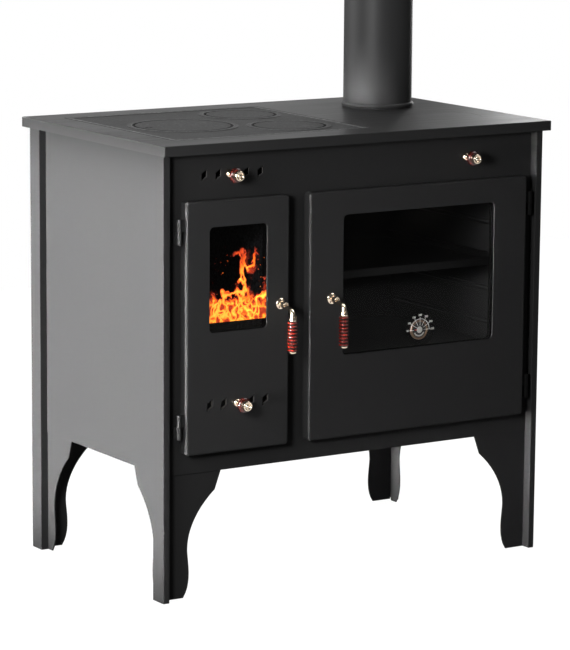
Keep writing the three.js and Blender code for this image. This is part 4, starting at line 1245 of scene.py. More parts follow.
@dataclass
class Hob:
    """Hob top, hotplate with its lids, cleaning lid and flue pipe."""

    fold_radius: float = 0.0018
    edge: float = 0.0004
    joint_edge: float = 0.0006
    lid_gap: float = 0.0012
    joint: float = 0.002
    collar: float = 0.012
    collar_rise: float = 0.001
    lip: float = 0.007
    flange: float = 0.0045
    sides: int = 112
    pipe_wall: float = 0.002
    bead_steps: int = 8
    bead_rise: float = 0.0035
    bead_height: float = 0.009
    bead_base: float = 0.0015
    notch_inset: float = 0.012
    notch_length: float = 0.016
    notch_width: float = 0.007
    notch_depth: float = 0.004
    lids: tuple[tuple[str, str], ...] = (
        ("lid_large", "large_lid"),
        ("lid_rear", "rear_lid"),
        ("lid_right", "right_lid"),
    )

    def __post_init__(self) -> None:
        """Reads the lids' places from the frame."""
        self.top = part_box("hob_top")[1][2]
        self.rounds: list[tuple[Vector, float]] = []
        for node, _ in self.lids:
            low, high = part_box(node)
            self.rounds.append((middle(node), (high[0] - low[0]) / 2))

    def _sheet(self) -> None:
        """The folded hob top: rounded outer folds and softened cut-outs."""
        low, high = corners("hob_top")
        near = self.edge
        piece = Bench.from_node("hob_top", 0.0)

        def is_outer_fold(centre: Vector, direction: Vector) -> bool:
            """Whether an edge runs round the top or down an outer corner."""
            at_side = min(abs(centre.x - low.x), abs(centre.x - high.x)) < near
            at_end = min(abs(centre.y - low.y), abs(centre.y - high.y)) < near
            on_top = abs(centre.z - high.z) < near
            return (at_side and at_end) or (on_top and (at_side or at_end))

        Bench.round_edges(piece, self.fold_radius, FOLD_STEPS, is_outer_fold)
        Bench.softened(piece, self.edge / 2)
        dress(piece, Finishes.hob, "casing", "hob_top")

    def _disc(self, name: str, centre: Vector, radius: float, low: float, high: float) -> bpy.types.Object:
        """A round tool.

        Args:
            name: Its name.
            centre: A point on its axis.
            radius: Its radius.
            low: Its lower end.
            high: Its upper end.

        Returns:
            The tool.
        """
        profile = ((0.0, low), (radius, low), (radius, high), (0.0, high))
        return Bench.turned(name, profile, (centre.x, centre.y, 0.0), sides=self.sides)

    def _hotplate(self) -> None:
        """The cast plate: a sunk field inside a raised border, with a collar and a seat for each lid."""
        low, high = corners("hotplate")
        top = high.z
        plate = Bench.block("hotplate_made", low, high)
        inset = Vector((self.collar, self.collar, 0.0))
        field = Bench.block(
            "field",
            Vector((low.x, low.y, top - self.collar_rise)) + inset,
            Vector((high.x, high.y, top + OVERRUN)) - inset,
        )
        for centre, radius in self.rounds:
            Bench.cut(field, self._disc("collar", centre, radius + self.collar, low.z, top + 2 * OVERRUN))
        Bench.cut(plate, field)
        for centre, radius in self.rounds:
            seat = top - self.flange - JOINT_GAP
            hole = radius - self.lip + JOINT_GAP
            Bench.cut(
                plate,
                self._disc("seat", centre, radius + JOINT_GAP, seat, top + OVERRUN),
                self._disc("hole", centre, hole, low.z - OVERRUN, top),
            )
        Bench.softened(plate, self.joint_edge)
        joint = self.joint
        finish = CastIron(
            "hotplate iron",
            Slot.CAST,
            (0.042, 0.042, 0.0424),
            0.68,
            rings=tuple(Ring(c.x, c.y, radius, radius + self.collar) for c, radius in self.rounds),
            # Each lid's joint ring is painted dark: sooty iron, and painted shade in the gap round the
            # lid.
            joints=tuple(Ring(c.x, c.y, radius - joint, radius + joint) for c, radius in self.rounds),
            border=self.collar,
            low=(low.x, low.y),
            high=(high.x, high.y),
        )
        dress(plate, finish, "casing", "hotplate")

    def _lid(self, node: str, body: str, centre: Vector, radius: float, notched: bool) -> None:
        """One lid with its flange, its fine outer chamfer and, on the large one, the lifting notch.

        Args:
            node: The lid's node.
            body: Its body.
            centre: Its centre.
            radius: Its radius.
            notched: Whether it has the notch.
        """
        low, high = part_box(node)
        thickness = high[2] - low[2]
        profile = (
            (0.0, -thickness),
            (radius - self.lip, -thickness),
            (radius - self.lip, -self.flange),
            (radius - self.lid_gap, -self.flange),
            (radius - self.lid_gap, 0.0),
            (0.0, 0.0),
        )
        lid = Bench.turned(f"{node}_made", profile, (centre.x, centre.y, high[2]), sides=self.sides)
        if notched:
            left = centre.x - radius + self.notch_inset
            half = self.notch_width / 2
            notch = Bench.block(
                "notch",
                (left, centre.y - half, high[2] - self.notch_depth),
                (left + self.notch_length, centre.y + half, high[2] + OVERRUN),
            )
            Bench.round_edges(notch, half * NEARLY_ROUND, ROUND_STEPS, facing(2))
            Bench.cut(lid, notch)
        Bench.softened(lid, self.joint_edge)
        # The lid's edge ring is painted dark: sooty iron, and painted shade in the gap round the lid.
        rim = Ring(centre.x, centre.y, radius - self.lid_gap - self.joint, radius + self.joint)
        finish = CastIron(
            f"{node} iron",
            Slot.CAST,
            (0.038, 0.038, 0.0384),
            0.65,
            joints=(rim,),
            stipple_scale=520.0,
            stipple_depth=0.00016,
        )
        dress(lid, finish, body, node)

    def _pipe(self) -> None:
        """The flue pipe with the rolled bead at its foot."""
        low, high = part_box("flue_pipe")
        centre = middle("flue_pipe")
        radius = (high[0] - low[0]) / 2 - self.bead_rise
        inner = radius - self.pipe_wall
        foot = self.top + self.bead_base
        crest = foot + self.bead_height / 2
        bead = []
        for step in range(self.bead_steps + 1):
            angle = math.pi * step / self.bead_steps
            rise = self.bead_rise * math.sin(angle)
            bead.append((radius + rise, crest - self.bead_height / 2 * math.cos(angle)))
        profile = (
            (inner, low[2]),
            (radius, low[2]),
            *bead,
            (radius, high[2]),
            (inner, high[2]),
            (inner, low[2]),
        )
        pipe = Bench.turned("flue_pipe_made", profile, (centre.x, centre.y, 0.0), sides=self.sides)
        Bench.shaded(pipe, SMOOTH_ROUND)
        dress(pipe, Finishes.pipe, "casing", "flue_pipe")

    def build(self) -> None:
        """Makes the hob."""
        self._sheet()
        self._hotplate()
        for (node, body), (centre, radius) in zip(self.lids, self.rounds):
            self._lid(node, body, centre, radius, node == "lid_large")
        refine("cleaning_lid", self.edge, Finishes.hob, "sweep_lid")
        self._pipe()


@dataclass
class Inside:
    """What stands behind the doors: firebox, grate, fireplates, ash pan, oven and flue box."""

    edge: float = 0.0004
    cast_edge: float = 0.0015
    steel: tuple[str, ...] = ("firebox_shell", "ash_pan", "ash_pan_lip", "flue_box")
    cast: tuple[str, ...] = ("grate", "fireplate_left", "fireplate_right", "fireplate_back")

    def build(self) -> None:
        """Makes the inner pieces."""
        for node in self.steel:
            refine(node, self.edge, Finishes.steel, "casing")
        for node in self.cast:
            refine(node, self.cast_edge, Finishes.iron, "casing")
        refine("oven_box", self.edge, Finishes.enamel, "casing")
        # The tray takes the darker enamel as painted shade.
        refine("oven_tray", self.edge, Finishes.shaded_tray, "casing")


@dataclass
class Knob:
    """A pull knob: stem with its collar, ring for the fingers and dished cap."""

    node: str
    body: str
    reach: float = 0.043
    stem: float = 0.004
    collar: float = 0.0086
    collar_height: float = 0.0075
    collar_start: float = 0.0015
    collar_steps: int = 6
    ring_steps: int = 10
    sides: int = 48
    cap: float = 0.0095
    cap_thickness: float = 0.009
    cap_rim: float = 0.0018
    dish_depth: float = 0.0025
    button: float = 0.0034
    button_drop: float = 0.0009
    button_crown: float = 0.0003
    nut: float = 0.0055
    nut_thickness: float = 0.003

    def build(self) -> None:
        """Makes the knob on its stem, and its ring."""
        low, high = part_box(self.node)
        centre = middle(self.node)
        front = low[1]
        cap_back = front + self.cap_thickness
        nut_front = high[1] - self.nut_thickness
        collar_end = front + self.reach - self.collar_start
        rim = self.cap_rim
        dish = front + self.dish_depth
        crown = dish - self.button_drop
        collar = []
        for step in range(self.collar_steps + 1):
            angle = QUARTER_TURN * step / self.collar_steps
            radius = self.stem + (self.collar - self.stem) * math.cos(angle)
            collar.append((radius, collar_end - self.collar_height * math.sin(angle)))
        profile = (
            (0.0, high[1]),
            (self.nut, high[1]),
            (self.nut, nut_front),
            (self.stem, nut_front),
            (self.stem, collar_end),
            *collar,
            (self.stem, cap_back),
            (self.cap, cap_back),
            (self.cap, front + rim),
            (self.cap - rim * ARC_MIDDLE, front + rim * ARC_MIDDLE),
            (self.cap - rim, front),
            (self.cap - 2 * rim, front + rim * 0.25),
            (self.button * 1.5, dish),
            (self.button, dish),
            (self.button * 0.8, crown),
            (0.0, crown - self.button_crown),
        )
        start = (centre.x, 0.0, centre.z)
        knob = Bench.turned(f"{self.node}_made", profile, start, Axis.ALONG_Y, self.sides)
        Bench.softened(knob, FINE_EDGE, 2, SMOOTH_TURNED)
        dress(knob, Finishes.nickel, self.body, self.node)
        self._ring(start)

    def _ring(self, start: Point) -> None:
        """The ring: a flat bore and a full round outside.

        Args:
            start: A point on the knob's axis.
        """
        node = f"{self.node}_ring"
        low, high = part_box(node)
        outer = (high[0] - low[0]) / 2
        back, front = high[1], low[1]
        inner = self.stem + JOINT_GAP
        half = (back - front) / 2
        crown = half * 0.9
        points = [(inner, front)]
        for step in range(self.ring_steps + 1):
            angle = math.pi * step / self.ring_steps - QUARTER_TURN
            radius = outer - crown + crown * math.cos(angle)
            points.append((radius, (front + back) / 2 + half * math.sin(angle)))
        points += [(inner, back), (inner, front)]
        ring = Bench.turned(f"{node}_made", points, start, Axis.ALONG_Y, self.sides)
        Bench.shaded(ring, SMOOTH_ROUND)
        dress(ring, Finishes.red_brown, self.body, node)


@dataclass
class LatchHandle:
    """A latch handle: rosette, boss, bent arm, ferrule, ribbed grip, end cap and latch tongue."""

    prefix: str
    body: str
    rosette: float = 0.01
    rosette_thickness: float = 0.004
    rosette_edge: float = 0.0017
    rosette_bevel: float = 0.0004
    boss_foot: float = 0.0008
    boss_bevel: float = 0.001
    boss: float = 0.0056
    boss_length: float = 0.016
    screw_hole: float = 0.0036
    screw_depth: float = 0.0022
    spindle: float = 0.0045
    arm_root: float = 0.0038
    arm_end: float = 0.0057
    arm_drop: float = 0.0035
    arm_start: float = 0.007
    arm_lead: float = 0.001
    arm_run: float = 0.036
    arm_above: float = 0.007
    arm_below: float = 0.03
    arm_overlap: float = 0.002
    arm_facets: int = 10
    arm_steps: int = 28
    standoff: float = 0.043
    ferrule_top: float = 0.018
    ferrule_height: float = 0.008
    ferrule: float = 0.0073
    ferrule_bead: float = 0.0012
    ferrule_neck: float = 0.002
    ferrule_bevel: float = 0.0007
    grip: float = 0.0098
    groove: float = 0.0066
    ribs: int = 9
    rib_steps: int = 8
    sides: int = 48
    core: float = 0.0043
    cap: float = 0.0075
    cap_height: float = 0.004
    latch_edge: float = 0.0004

    def _arm(self, door: float, centre: Vector) -> bpy.types.Object:
        """The arm: it leaves the boss forwards, bends down and thickens towards the ferrule.

        Args:
            door: The y of the door's face.
            centre: The middle of the grip's top, which gives the x.

        Returns:
            The arm.
        """
        Bench.clear()
        bpy.ops.curve.primitive_bezier_curve_add(location=(0.0, 0.0, 0.0))
        curve = bpy.context.object
        curve.name = f"{self.prefix}_arm"
        data = curve.data
        data.dimensions = "3D"
        hang = self.standoff
        drop = self.arm_drop
        foot = self.ferrule_top + self.arm_overlap
        # Each end: its radius, then its place, the handle ahead and the handle behind, as (out, down)
        ends = (
            (self.arm_root, (self.arm_start, drop), (self.arm_run, drop), (self.arm_lead, drop)),
            (self.arm_end, (hang, foot), (hang, self.arm_below), (hang, self.arm_above)),
        )
        for point, (radius, *spots) in zip(data.splines[0].bezier_points, ends):
            place, ahead, behind = ((centre.x, door - out, centre.z - down) for out, down in spots)
            point.handle_left_type = "FREE"
            point.handle_right_type = "FREE"
            point.co = place
            point.handle_right = ahead
            point.handle_left = behind
            point.radius = radius / self.arm_end
        data.bevel_depth = self.arm_end
        data.bevel_resolution = self.arm_facets
        data.resolution_u = self.arm_steps
        data.use_fill_caps = True
        Bench.hold(curve)
        bpy.ops.object.convert(target="MESH")
        arm = Bench.named(f"{self.prefix}_arm")
        with Bench.editing(arm):
            bpy.ops.mesh.remove_doubles(threshold=MERGE)
            bpy.ops.mesh.normals_make_consistent(inside=False)
        return arm

    def _metal(self, door: float, centre: Vector, back: float) -> None:
        """The plated parts, fused.

        Args:
            door: The y of the door's face.
            centre: The handle's axis.
            back: The y of the spindle's end.
        """
        node = f"{self.prefix}_handle"
        axis = (centre.x, 0.0, centre.z)
        face = door - JOINT_GAP
        front = face - self.rosette_thickness
        nose = door - self.boss_length - self.rosette_thickness
        body = Bench.turned(
            f"{node}_made",
            (
                (0.0, back),
                (self.spindle, back),
                (self.spindle, face),
                (self.rosette, face),
                (self.rosette, front + self.rosette_edge),
                (self.rosette * 0.86, front + self.rosette_bevel),
                (self.boss * 1.25, front),
                (self.boss, front - self.boss_foot),
                (self.boss, nose + self.boss_bevel),
                (self.boss * 0.86, nose),
                (self.screw_hole, nose),
                (self.screw_hole, nose + self.screw_depth),
                (0.0, nose + self.screw_depth),
            ),
            axis,
            Axis.ALONG_Y,
            self.sides,
        )
        grip_top = centre.z - self.ferrule_top - self.ferrule_height
        grip_low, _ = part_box(f"{self.prefix}_grip")
        cap_top = grip_low[2] - JOINT_GAP
        below = (centre.x, door - self.standoff, 0.0)
        top = centre.z - self.ferrule_top
        lower = Bench.turned(
            f"{self.prefix}_ferrule",
            (
                (0.0, cap_top - self.cap_height),
                (self.cap * 0.55, cap_top - self.cap_height),
                (self.cap * 0.9, cap_top - self.cap_height * 0.6),
                (self.cap, cap_top - self.cap_height * 0.3),
                (self.cap, cap_top),
                (self.core, cap_top),
                (self.core, grip_top),
                (self.ferrule, grip_top),
                (self.ferrule * 1.06, grip_top + self.ferrule_bead),
                (self.ferrule, grip_top + 2 * self.ferrule_bead),
                (self.ferrule, top - self.ferrule_neck),
                (self.ferrule * 0.93, top - self.ferrule_bevel),
                (self.arm_end * 0.96, top),
                (0.0, top),
            ),
            below,
            Axis.ALONG_Z,
            self.sides,
        )
        Bench.fused(body, self._arm(door, centre), lower)
        Bench.shaded(body, SMOOTH_TURNED)
        dress(body, Finishes.nickel, self.body, node)

    def _grip(self, door: float, centre: Vector) -> None:
        """The turned grip with its round ribs.

        Args:
            door: The y of the door's face.
            centre: The handle's axis.
        """
        node = f"{self.prefix}_grip"
        low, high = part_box(node)
        pitch = (high[2] - low[2]) / self.ribs
        bore = self.core + JOINT_GAP
        depth = self.grip - self.groove
        points = [(bore, low[2])]
        for rib in range(self.ribs):
            foot = low[2] + rib * pitch
            for step in range(self.rib_steps):
                share = step / self.rib_steps
                rise = max(0.0, math.sin(math.pi * share) * 1.6 - 0.6) ** 0.5
                points.append((self.groove + depth * rise, foot + pitch * share))
        points += [(self.groove, high[2]), (bore, high[2]), (bore, low[2])]
        below = (centre.x, door - self.standoff, 0.0)
        grip = Bench.turned(f"{node}_made", points, below, Axis.ALONG_Z, self.sides)
        Bench.shaded(grip, SMOOTH_RIBBED)
        # The finish paints the grip's grooves dark as painted shade.
        finish = RibbedGloss(
            f"{node} red",
            Slot.RED_BROWN,
            (0.12, 0.005, 0.0015),
            0.15,
            coat=0.3,
            x=centre.x,
            y=door - self.standoff,
            groove=self.groove + depth * 0.25,
            crest=self.groove + depth * 0.75,
        )
        dress(grip, finish, self.body, node)

    def build(self) -> None:
        """Makes the handle."""
        low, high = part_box(f"{self.prefix}_handle")
        door = low[1] + self.standoff + max(self.cap, self.ferrule)
        centre = Vector(((low[0] + high[0]) / 2, 0.0, high[2] - self.rosette))
        self._metal(door, centre, high[1])
        self._grip(door, centre)
        refine(f"{self.prefix}_latch", self.latch_edge, Finishes.steel, self.body)


@dataclass
class SealRope:
    """The braided rope round a door's opening, twisted from four strands."""

    node: str
    body: str
    strands: int = 4
    lay: float = 0.016
    step: float = 0.002
    corner_steps: int = 8
    strand_corners: int = 5
    valley: float = 0.78

    def _section(self, radius: float) -> bpy.types.Object:
        """The rope's lobed section, as a curve.

        Args:
            radius: The rope's radius.

        Returns:
            The section.
        """
        Bench.clear()
        bpy.ops.mesh.primitive_circle_add(vertices=self.strands * self.strand_corners, radius=radius)
        section = Bench.named(f"{self.node}_section")
        for index, corner in enumerate(section.data.vertices):
            share = (index % self.strand_corners) / self.strand_corners
            corner.co *= self.valley + (1.0 - self.valley) * math.sin(math.pi * share)
        Bench.hold(section)
        bpy.ops.object.convert(target="CURVE")
        return bpy.context.object

    def build(self) -> None:
        """Makes the rope."""
        low, high = corners(self.node)
        radius = (high.y - low.y) / 2
        low_mid = Vector((low.x + radius, (low.y + high.y) / 2, low.z + radius))
        high_mid = Vector((high.x - radius, (low.y + high.y) / 2, high.z - radius))
        centre = (low_mid + high_mid) / 2
        Bench.clear()
        bpy.ops.mesh.primitive_plane_add(size=1.0, location=centre, rotation=(QUARTER_TURN, 0.0, 0.0))
        path = Bench.named(f"{self.node}_made")
        with Bench.editing(path):
            width, height = high_mid.x - low_mid.x, high_mid.z - low_mid.z
            bpy.ops.transform.resize(value=(width, 1.0, height), center_override=centre)
            bpy.ops.mesh.bevel(offset=2 * radius, segments=self.corner_steps, affect="VERTICES")
            bpy.ops.mesh.delete(type="ONLY_FACE")
            for direction, length in ((0, width), (2, height)):
                Bench.pick(path, Pick.EDGES, facing(direction))
                bpy.ops.mesh.subdivide(number_cuts=int(length / self.step))
        Bench.hold(path)
        bpy.ops.object.convert(target="CURVE")
        curve = bpy.context.object.data
        section = self._section(radius)
        curve.dimensions = "3D"
        curve.twist_mode = "Z_UP"
        curve.bevel_mode = "OBJECT"
        curve.bevel_object = section
        self._twist(curve.splines[0])
        Bench.hold(path)
        bpy.ops.object.convert(target="MESH")
        rope = bpy.context.object
        bpy.data.objects.remove(section)
        with Bench.editing(rope):
            bpy.ops.mesh.remove_doubles(threshold=MERGE)
            bpy.ops.mesh.normals_make_consistent(inside=False)
        Bench.shaded(rope, SMOOTH_RIBBED)
        dress(rope, Finishes.rope, self.body, self.node)

    def _twist(self, spline: bpy.types.Spline) -> None:
        """Tilts each point in step with its distance along the rope, in whole strands over the round.

        Args:
            spline: The rope's path.
        """
        places = [Vector(point.co[:3]) for point in spline.points]
        lengths = [0.0]
        for start, end in zip(places, places[1:] + places[:1]):
            lengths.append(lengths[-1] + (end - start).length)
        turns = round(lengths[-1] / self.lay)
        for point, length in zip(spline.points, lengths):
            point.tilt = FULL_TURN * turns * length / lengths[-1]


@dataclass
class Door:
    """A door: pressed shell with its window and slots, liner, glass, rope and hinges."""

    prefix: str
    body: str
    hinge_finish: Finish
    sheet: float = 0.003
    corner: float = 0.007
    edge: float = 0.004
    broken_edge: float = 0.00035
    glass_overlap: float = 0.012
    window_corner: float = 0.009
    spindle: float = 0.0048
    hole_sides: int = 32
    slots: bool = False

    def _window(self) -> bpy.types.Object:
        """The window's cutter, as large as the glass less its overlap."""
        low, high = corners(f"{self.prefix}_glass")
        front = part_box(self.prefix)[0][1]
        lap = Vector((self.glass_overlap, 0.0, self.glass_overlap))
        low, high = low + lap, high - lap
        tool = Bench.block("window", (low.x, front - OVERRUN, low.z), (high.x, high.y, high.z))
        Bench.round_edges(tool, self.window_corner, CORNER_STEPS, facing(1))
        return tool

    def _shell(self) -> None:
        """The pressed front: rounded corners and edges, hollow, with its cut-outs."""
        low, high = corners(self.prefix)
        shell = Bench.block(f"{self.prefix}_made", low, high)
        Bench.round_edges(shell, self.corner, CORNER_STEPS, facing(1))
        near = self.edge / 8

        def is_front(centre: Vector, _: Vector) -> bool:
            """Whether an edge lies in the door's face."""
            return abs(centre.y - low.y) < near

        Bench.round_edges(shell, self.edge, ROUND_STEPS, is_front)
        with Bench.editing(shell):
            Bench.pick(shell, Pick.FACES, facing(1, 1))
            bpy.ops.mesh.delete(type="FACE")
        Bench.apply(shell, "SOLIDIFY", thickness=self.sheet, offset=-1.0, use_even_offset=True)
        tools = [self._window()]
        axis = middle(f"{self.prefix}_handle")
        high_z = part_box(f"{self.prefix}_handle")[1][2]
        start = low.y - OVERRUN
        hole = ((0.0, start), (self.spindle, start), (self.spindle, high.y), (0.0, high.y))
        centre = (axis.x, 0.0, high_z - LatchHandle.rosette)
        tools.append(Bench.turned("spindle_hole", hole, centre, Axis.ALONG_Y, self.hole_sides))
        if self.slots:
            tools += AirSlots("lower_air").tools(low.y - OVERRUN, low.y + self.sheet + OVERRUN)
        Bench.cut(shell, *tools)
        Bench.softened(shell, self.broken_edge)
        dress(shell, Finishes.casing, self.body, self.prefix)

    def build(self) -> None:
        """Makes the door and the halves of its hinges."""
        self._shell()
        refine(f"{self.prefix}_liner", self.broken_edge, Finishes.liner, self.body)
        refine(f"{self.prefix}_glass", self.broken_edge, Finishes.glass, self.body)
        SealRope(f"{self.prefix}_rope", self.body).build()
        for place in ("upper", "lower"):
            Hinge(f"{self.prefix}_hinge_{place}", self.body, self.hinge_finish).build()


@dataclass
class AirSlots:
    """The leaning slots of an air slide, and the straight slot that its stem runs in."""

    prefix: str
    pitch: float = 0.03
    width: float = 0.0134
    height: float = 0.0152
    rise: float = 0.0078
    each_side: int = 2
    stem_room: float = 0.0043
    travel: float = 0.015

    def tools(self, front: float, back: float) -> list[bpy.types.Object]:
        """The cutters of the row.

        Args:
            front: The y at which they start.
            back: The y at which they end.

        Returns:
            The cutters.
        """
        plate = middle(f"{self.prefix}_plate")
        stem = middle(f"{self.prefix}_knob")
        cutters = []
        for place in range(-self.each_side, self.each_side + 1):
            if place == 0:
                continue
            x = plate.x + place * self.pitch
            tool = Bench.block(
                "slot",
                (x - self.width / 2, front, plate.z - self.height / 2),
                (x + self.width / 2, back, plate.z + self.height / 2),
            )
            with Bench.editing(tool):
                for side in (-1, 1):
                    Bench.pick(tool, Pick.FACES, facing(0, side))
                    bpy.ops.transform.translate(value=(0.0, 0.0, side * self.rise / 2))
            cutters.append(tool)
        run = Bench.block(
            "run",
            (stem.x - self.stem_room, front, stem.z - self.stem_room),
            (stem.x + self.travel + self.stem_room, back, stem.z + self.stem_room),
        )
        Bench.round_edges(run, self.stem_room * NEARLY_ROUND, ROUND_STEPS, facing(1))
        cutters.append(run)
        return cutters


@dataclass
class Hinge:
    """A loose-pin hinge: the frame's knuckle with its pin below, the door's knuckle above."""

    prefix: str
    body: str
    finish: Finish
    radius: float = 0.00475
    pin: float = 0.0025
    leaf: float = 0.004
    rounding: float = 0.0009
    sides: int = 40
    pin_sides: int = 32

    def _barrel(self, name: str, low: float, high: float, bore: float, centre: Vector) -> bpy.types.Object:
        """A barrel with rounded rims, bored from below where it has a bore.

        Args:
            name: Its name.
            low: Its lower end.
            high: Its upper end.
            bore: The bore's radius, or 0.
            centre: A point on the axis.

        Returns:
            The barrel.
        """
        soft = self.rounding
        brow = soft * ARC_MIDDLE
        roof = high - self.leaf
        outline = (
            (self.radius - soft, low),
            (self.radius - brow, low + brow),
            (self.radius, low + soft),
            (self.radius, high - soft),
            (self.radius - brow, high - brow),
            (self.radius - soft, high),
            (0.0, high),
        )
        profile = ((0.0, low), *outline)
        if bore:
            profile = ((bore, low), *outline, (0.0, roof), (bore, roof), (bore, low))
        return Bench.turned(name, profile, (centre.x, centre.y, 0.0), sides=self.sides)

    def build(self) -> None:
        """Makes both halves."""
        knuckle, pin = f"{self.prefix}_knuckle", f"{self.prefix}_pin"
        low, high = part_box(knuckle)
        frame_low, frame_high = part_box(pin)
        axis = Vector(((frame_low[0] + frame_high[0]) / 2, frame_low[1] + self.radius, 0.0))
        upper = self._barrel(f"{knuckle}_made", low[2], high[2], self.pin + JOINT_GAP, axis)
        half = self.leaf / 2
        leaf_end = high[0] if high[0] - axis.x > self.radius + JOINT_GAP else low[0]
        leaf_root = axis.x + math.copysign(self.pin + half / 2, leaf_end - axis.x)
        leaf = Bench.block(
            "leaf",
            (min(leaf_root, leaf_end), axis.y - half, low[2] + JOINT_GAP),
            (max(leaf_root, leaf_end), axis.y + half, high[2] - JOINT_GAP),
        )
        Bench.fused(upper, leaf)
        Bench.softened(upper, FINE_EDGE, 2, SMOOTH_ROUND)
        dress(upper, self.finish, self.body, knuckle)
        barrel_top = low[2] - JOINT_GAP
        lower = self._barrel(f"{pin}_made", frame_low[2], barrel_top, 0.0, axis)
        foot = Bench.block(
            "foot",
            (axis.x - half, axis.y, frame_low[2]),
            (axis.x + half, frame_high[1], barrel_top - JOINT_GAP),
        )
        root, tip = barrel_top - self.leaf, frame_high[2]
        shaft = ((0.0, root), (self.pin, root), (self.pin, tip), (0.0, tip))
        Bench.fused(lower, foot, Bench.turned("shaft", shaft, axis, sides=self.pin_sides))
        Bench.softened(lower, FINE_EDGE, 2, SMOOTH_ROUND)
        dress(lower, self.finish, "casing", pin)


@dataclass
class Thermometer:
    """The oven thermometer: ring, dial, pointer, and the scale printed on its clear cover."""

    ring_width: float = 0.0036
    ring_edge: float = 0.0012
    ring_round: float = 0.0005
    ring_crown: float = 0.0003
    ring_soft: float = 0.0002
    dial_gap: float = 0.0001
    sides: int = 72
    hub: float = 0.0064
    hub_sides: int = 48
    hub_edge: float = 0.0004
    hub_crown: float = 0.0001
    hub_soft: float = 0.00008
    crescent_inner: float = 0.0106
    crescent_outer: float = 0.0132
    arc_radius: float = 0.0208
    arc_width: float = 0.0009
    tick_inner: float = 0.0085
    tick_outer: float = 0.0245
    tick_width: float = 0.0009
    pointer_reach: float = 0.0142
    number_radius: float = 0.0285
    number_height: float = 0.0052
    cover: float = 0.0325
    cover_thickness: float = 0.0006
    ink: float = 0.00012
    number_weight: float = 0.00006
    arc_ends: tuple[float, float] = (2.0, 178.0)
    crescent_ends: tuple[float, float] = (208.0, 332.0)
    band_step: float = 4.0
    numbers: tuple[str, ...] = ("50", "100", "150", "200", "250", "300", "350")
    scale_span: float = 180.0
    stem: float = 0.005
    nut: float = 0.008
    nut_thickness: float = 0.004

    def __post_init__(self) -> None:
        """Reads the gauge's place from the frame."""
        centre = middle("thermometer_case")
        self.hub_point = Vector((centre.x, 0.0, centre.z))
        low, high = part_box("thermometer_case")
        self.radius = (high[0] - low[0]) / 2
        self.front = low[1]
        self.back = high[1]
        self.glass_front, self.glass_back = (corner[1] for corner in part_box("oven_door_glass"))
        self.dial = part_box("thermometer_pointer")[1][1] + JOINT_GAP

    def _ring(self) -> None:
        """The ring with its sunk face, its stem and the nut behind the glass."""
        edge = self.radius - self.ring_width
        nut_front = self.glass_back + JOINT_GAP
        seat = self.glass_front - JOINT_GAP
        floor = self.dial + self.dial_gap
        profile = (
            (0.0, self.back),
            (self.nut, self.back),
            (self.nut, nut_front),
            (self.stem, nut_front),
            (self.stem, seat),
            (self.radius, seat),
            (self.radius, self.front + self.ring_edge),
            (self.radius - self.ring_round, self.front + self.ring_crown),
            (self.radius - self.ring_width * 0.45, self.front),
            (edge + self.ring_round, self.front + self.ring_crown + self.dial_gap),
            (edge, self.front + self.ring_edge + self.ring_soft),
            (edge, floor),
            (0.0, floor),
        )
        ring = Bench.turned("thermometer_case_made", profile, self.hub_point, Axis.ALONG_Y, self.sides)
        Bench.softened(ring, self.ring_soft, 2, SMOOTH_TURNED)
        dress(ring, Finishes.copper, "oven_door_leaf", "thermometer_case")
        front, back = self.dial - self.dial_gap, self.dial + self.dial_gap / 2
        rim = edge - JOINT_GAP
        face = ((0.0, front), (rim, front), (rim, back), (0.0, back))
        plate = Bench.turned("thermometer_dial", face, self.hub_point, Axis.ALONG_Y, self.sides)
        Bench.softened(plate, self.dial_gap / 4, 1, SMOOTH_TURNED)
        dress(plate, Finishes.dial_black, "oven_door_leaf")

    def _cover(self) -> None:
        """The thin clear disc on the ring, which carries the scale."""
        back = self.front
        front = back - self.cover_thickness
        profile = ((0.0, back), (self.cover, back), (self.cover, front), (0.0, front))
        cover = Bench.turned("thermometer_cover", profile, self.hub_point, Axis.ALONG_Y, self.sides)
        Bench.softened(cover, self.cover_thickness / 6, 1, SMOOTH_TURNED)
        dress(cover, Finishes.clear, "oven_door_leaf")

    def _band(
        self, name: str, inner: float, outer: float, start: float, end: float, front: float
    ) -> bpy.types.Object:
        """A flat piece of a ring, swept with the spin tool.

        Args:
            name: Its name.
            inner: Its inner radius.
            outer: Its outer radius.
            start: The angle at which it starts, in degrees from +X over +Z.
            end: The angle at which it ends.
            front: The y of its front.

        Returns:
            The band.
        """
        hub = self.hub_point
        band = Bench.block(
            name,
            (hub.x + inner, front, hub.z - self.ink / 10),
            (hub.x + outer, front + self.ink, hub.z + self.ink / 10),
        )
        with Bench.editing(band):
            Bench.pick(band, Pick.FACES, facing(2, 1))
            sweep = end - start
            steps = int(sweep / self.band_step)
            bpy.ops.mesh.spin(steps=steps, angle=math.radians(sweep), center=hub, axis=Axis.ALONG_Y.value)
            bpy.ops.mesh.select_all(action="SELECT")
            bpy.ops.mesh.remove_doubles(threshold=self.ink / 100)
            bpy.ops.mesh.normals_make_consistent(inside=False)
        return Bench.swung(band, hub, start)

    def _tick(self, angle: float, inner: float, outer: float, front: float) -> bpy.types.Object:
        """A straight radial mark that widens outwards a little.

        Args:
            angle: Its angle in degrees.
            inner: Its inner end.
            outer: Its outer end.
            front: The y of its front.

        Returns:
            The mark.
        """
        hub = self.hub_point
        half = self.tick_width / 2
        tick = Bench.block(
            "tick",
            (hub.x + inner, front, hub.z - half),
            (hub.x + outer, front + self.ink, hub.z + half),
        )
        with Bench.editing(tick):
            Bench.pick(tick, Pick.FACES, facing(0, -1))
            bpy.ops.transform.resize(value=(1.0, 1.0, 0.6), center_override=(hub.x + inner, front, hub.z))
        return Bench.swung(tick, hub, angle)

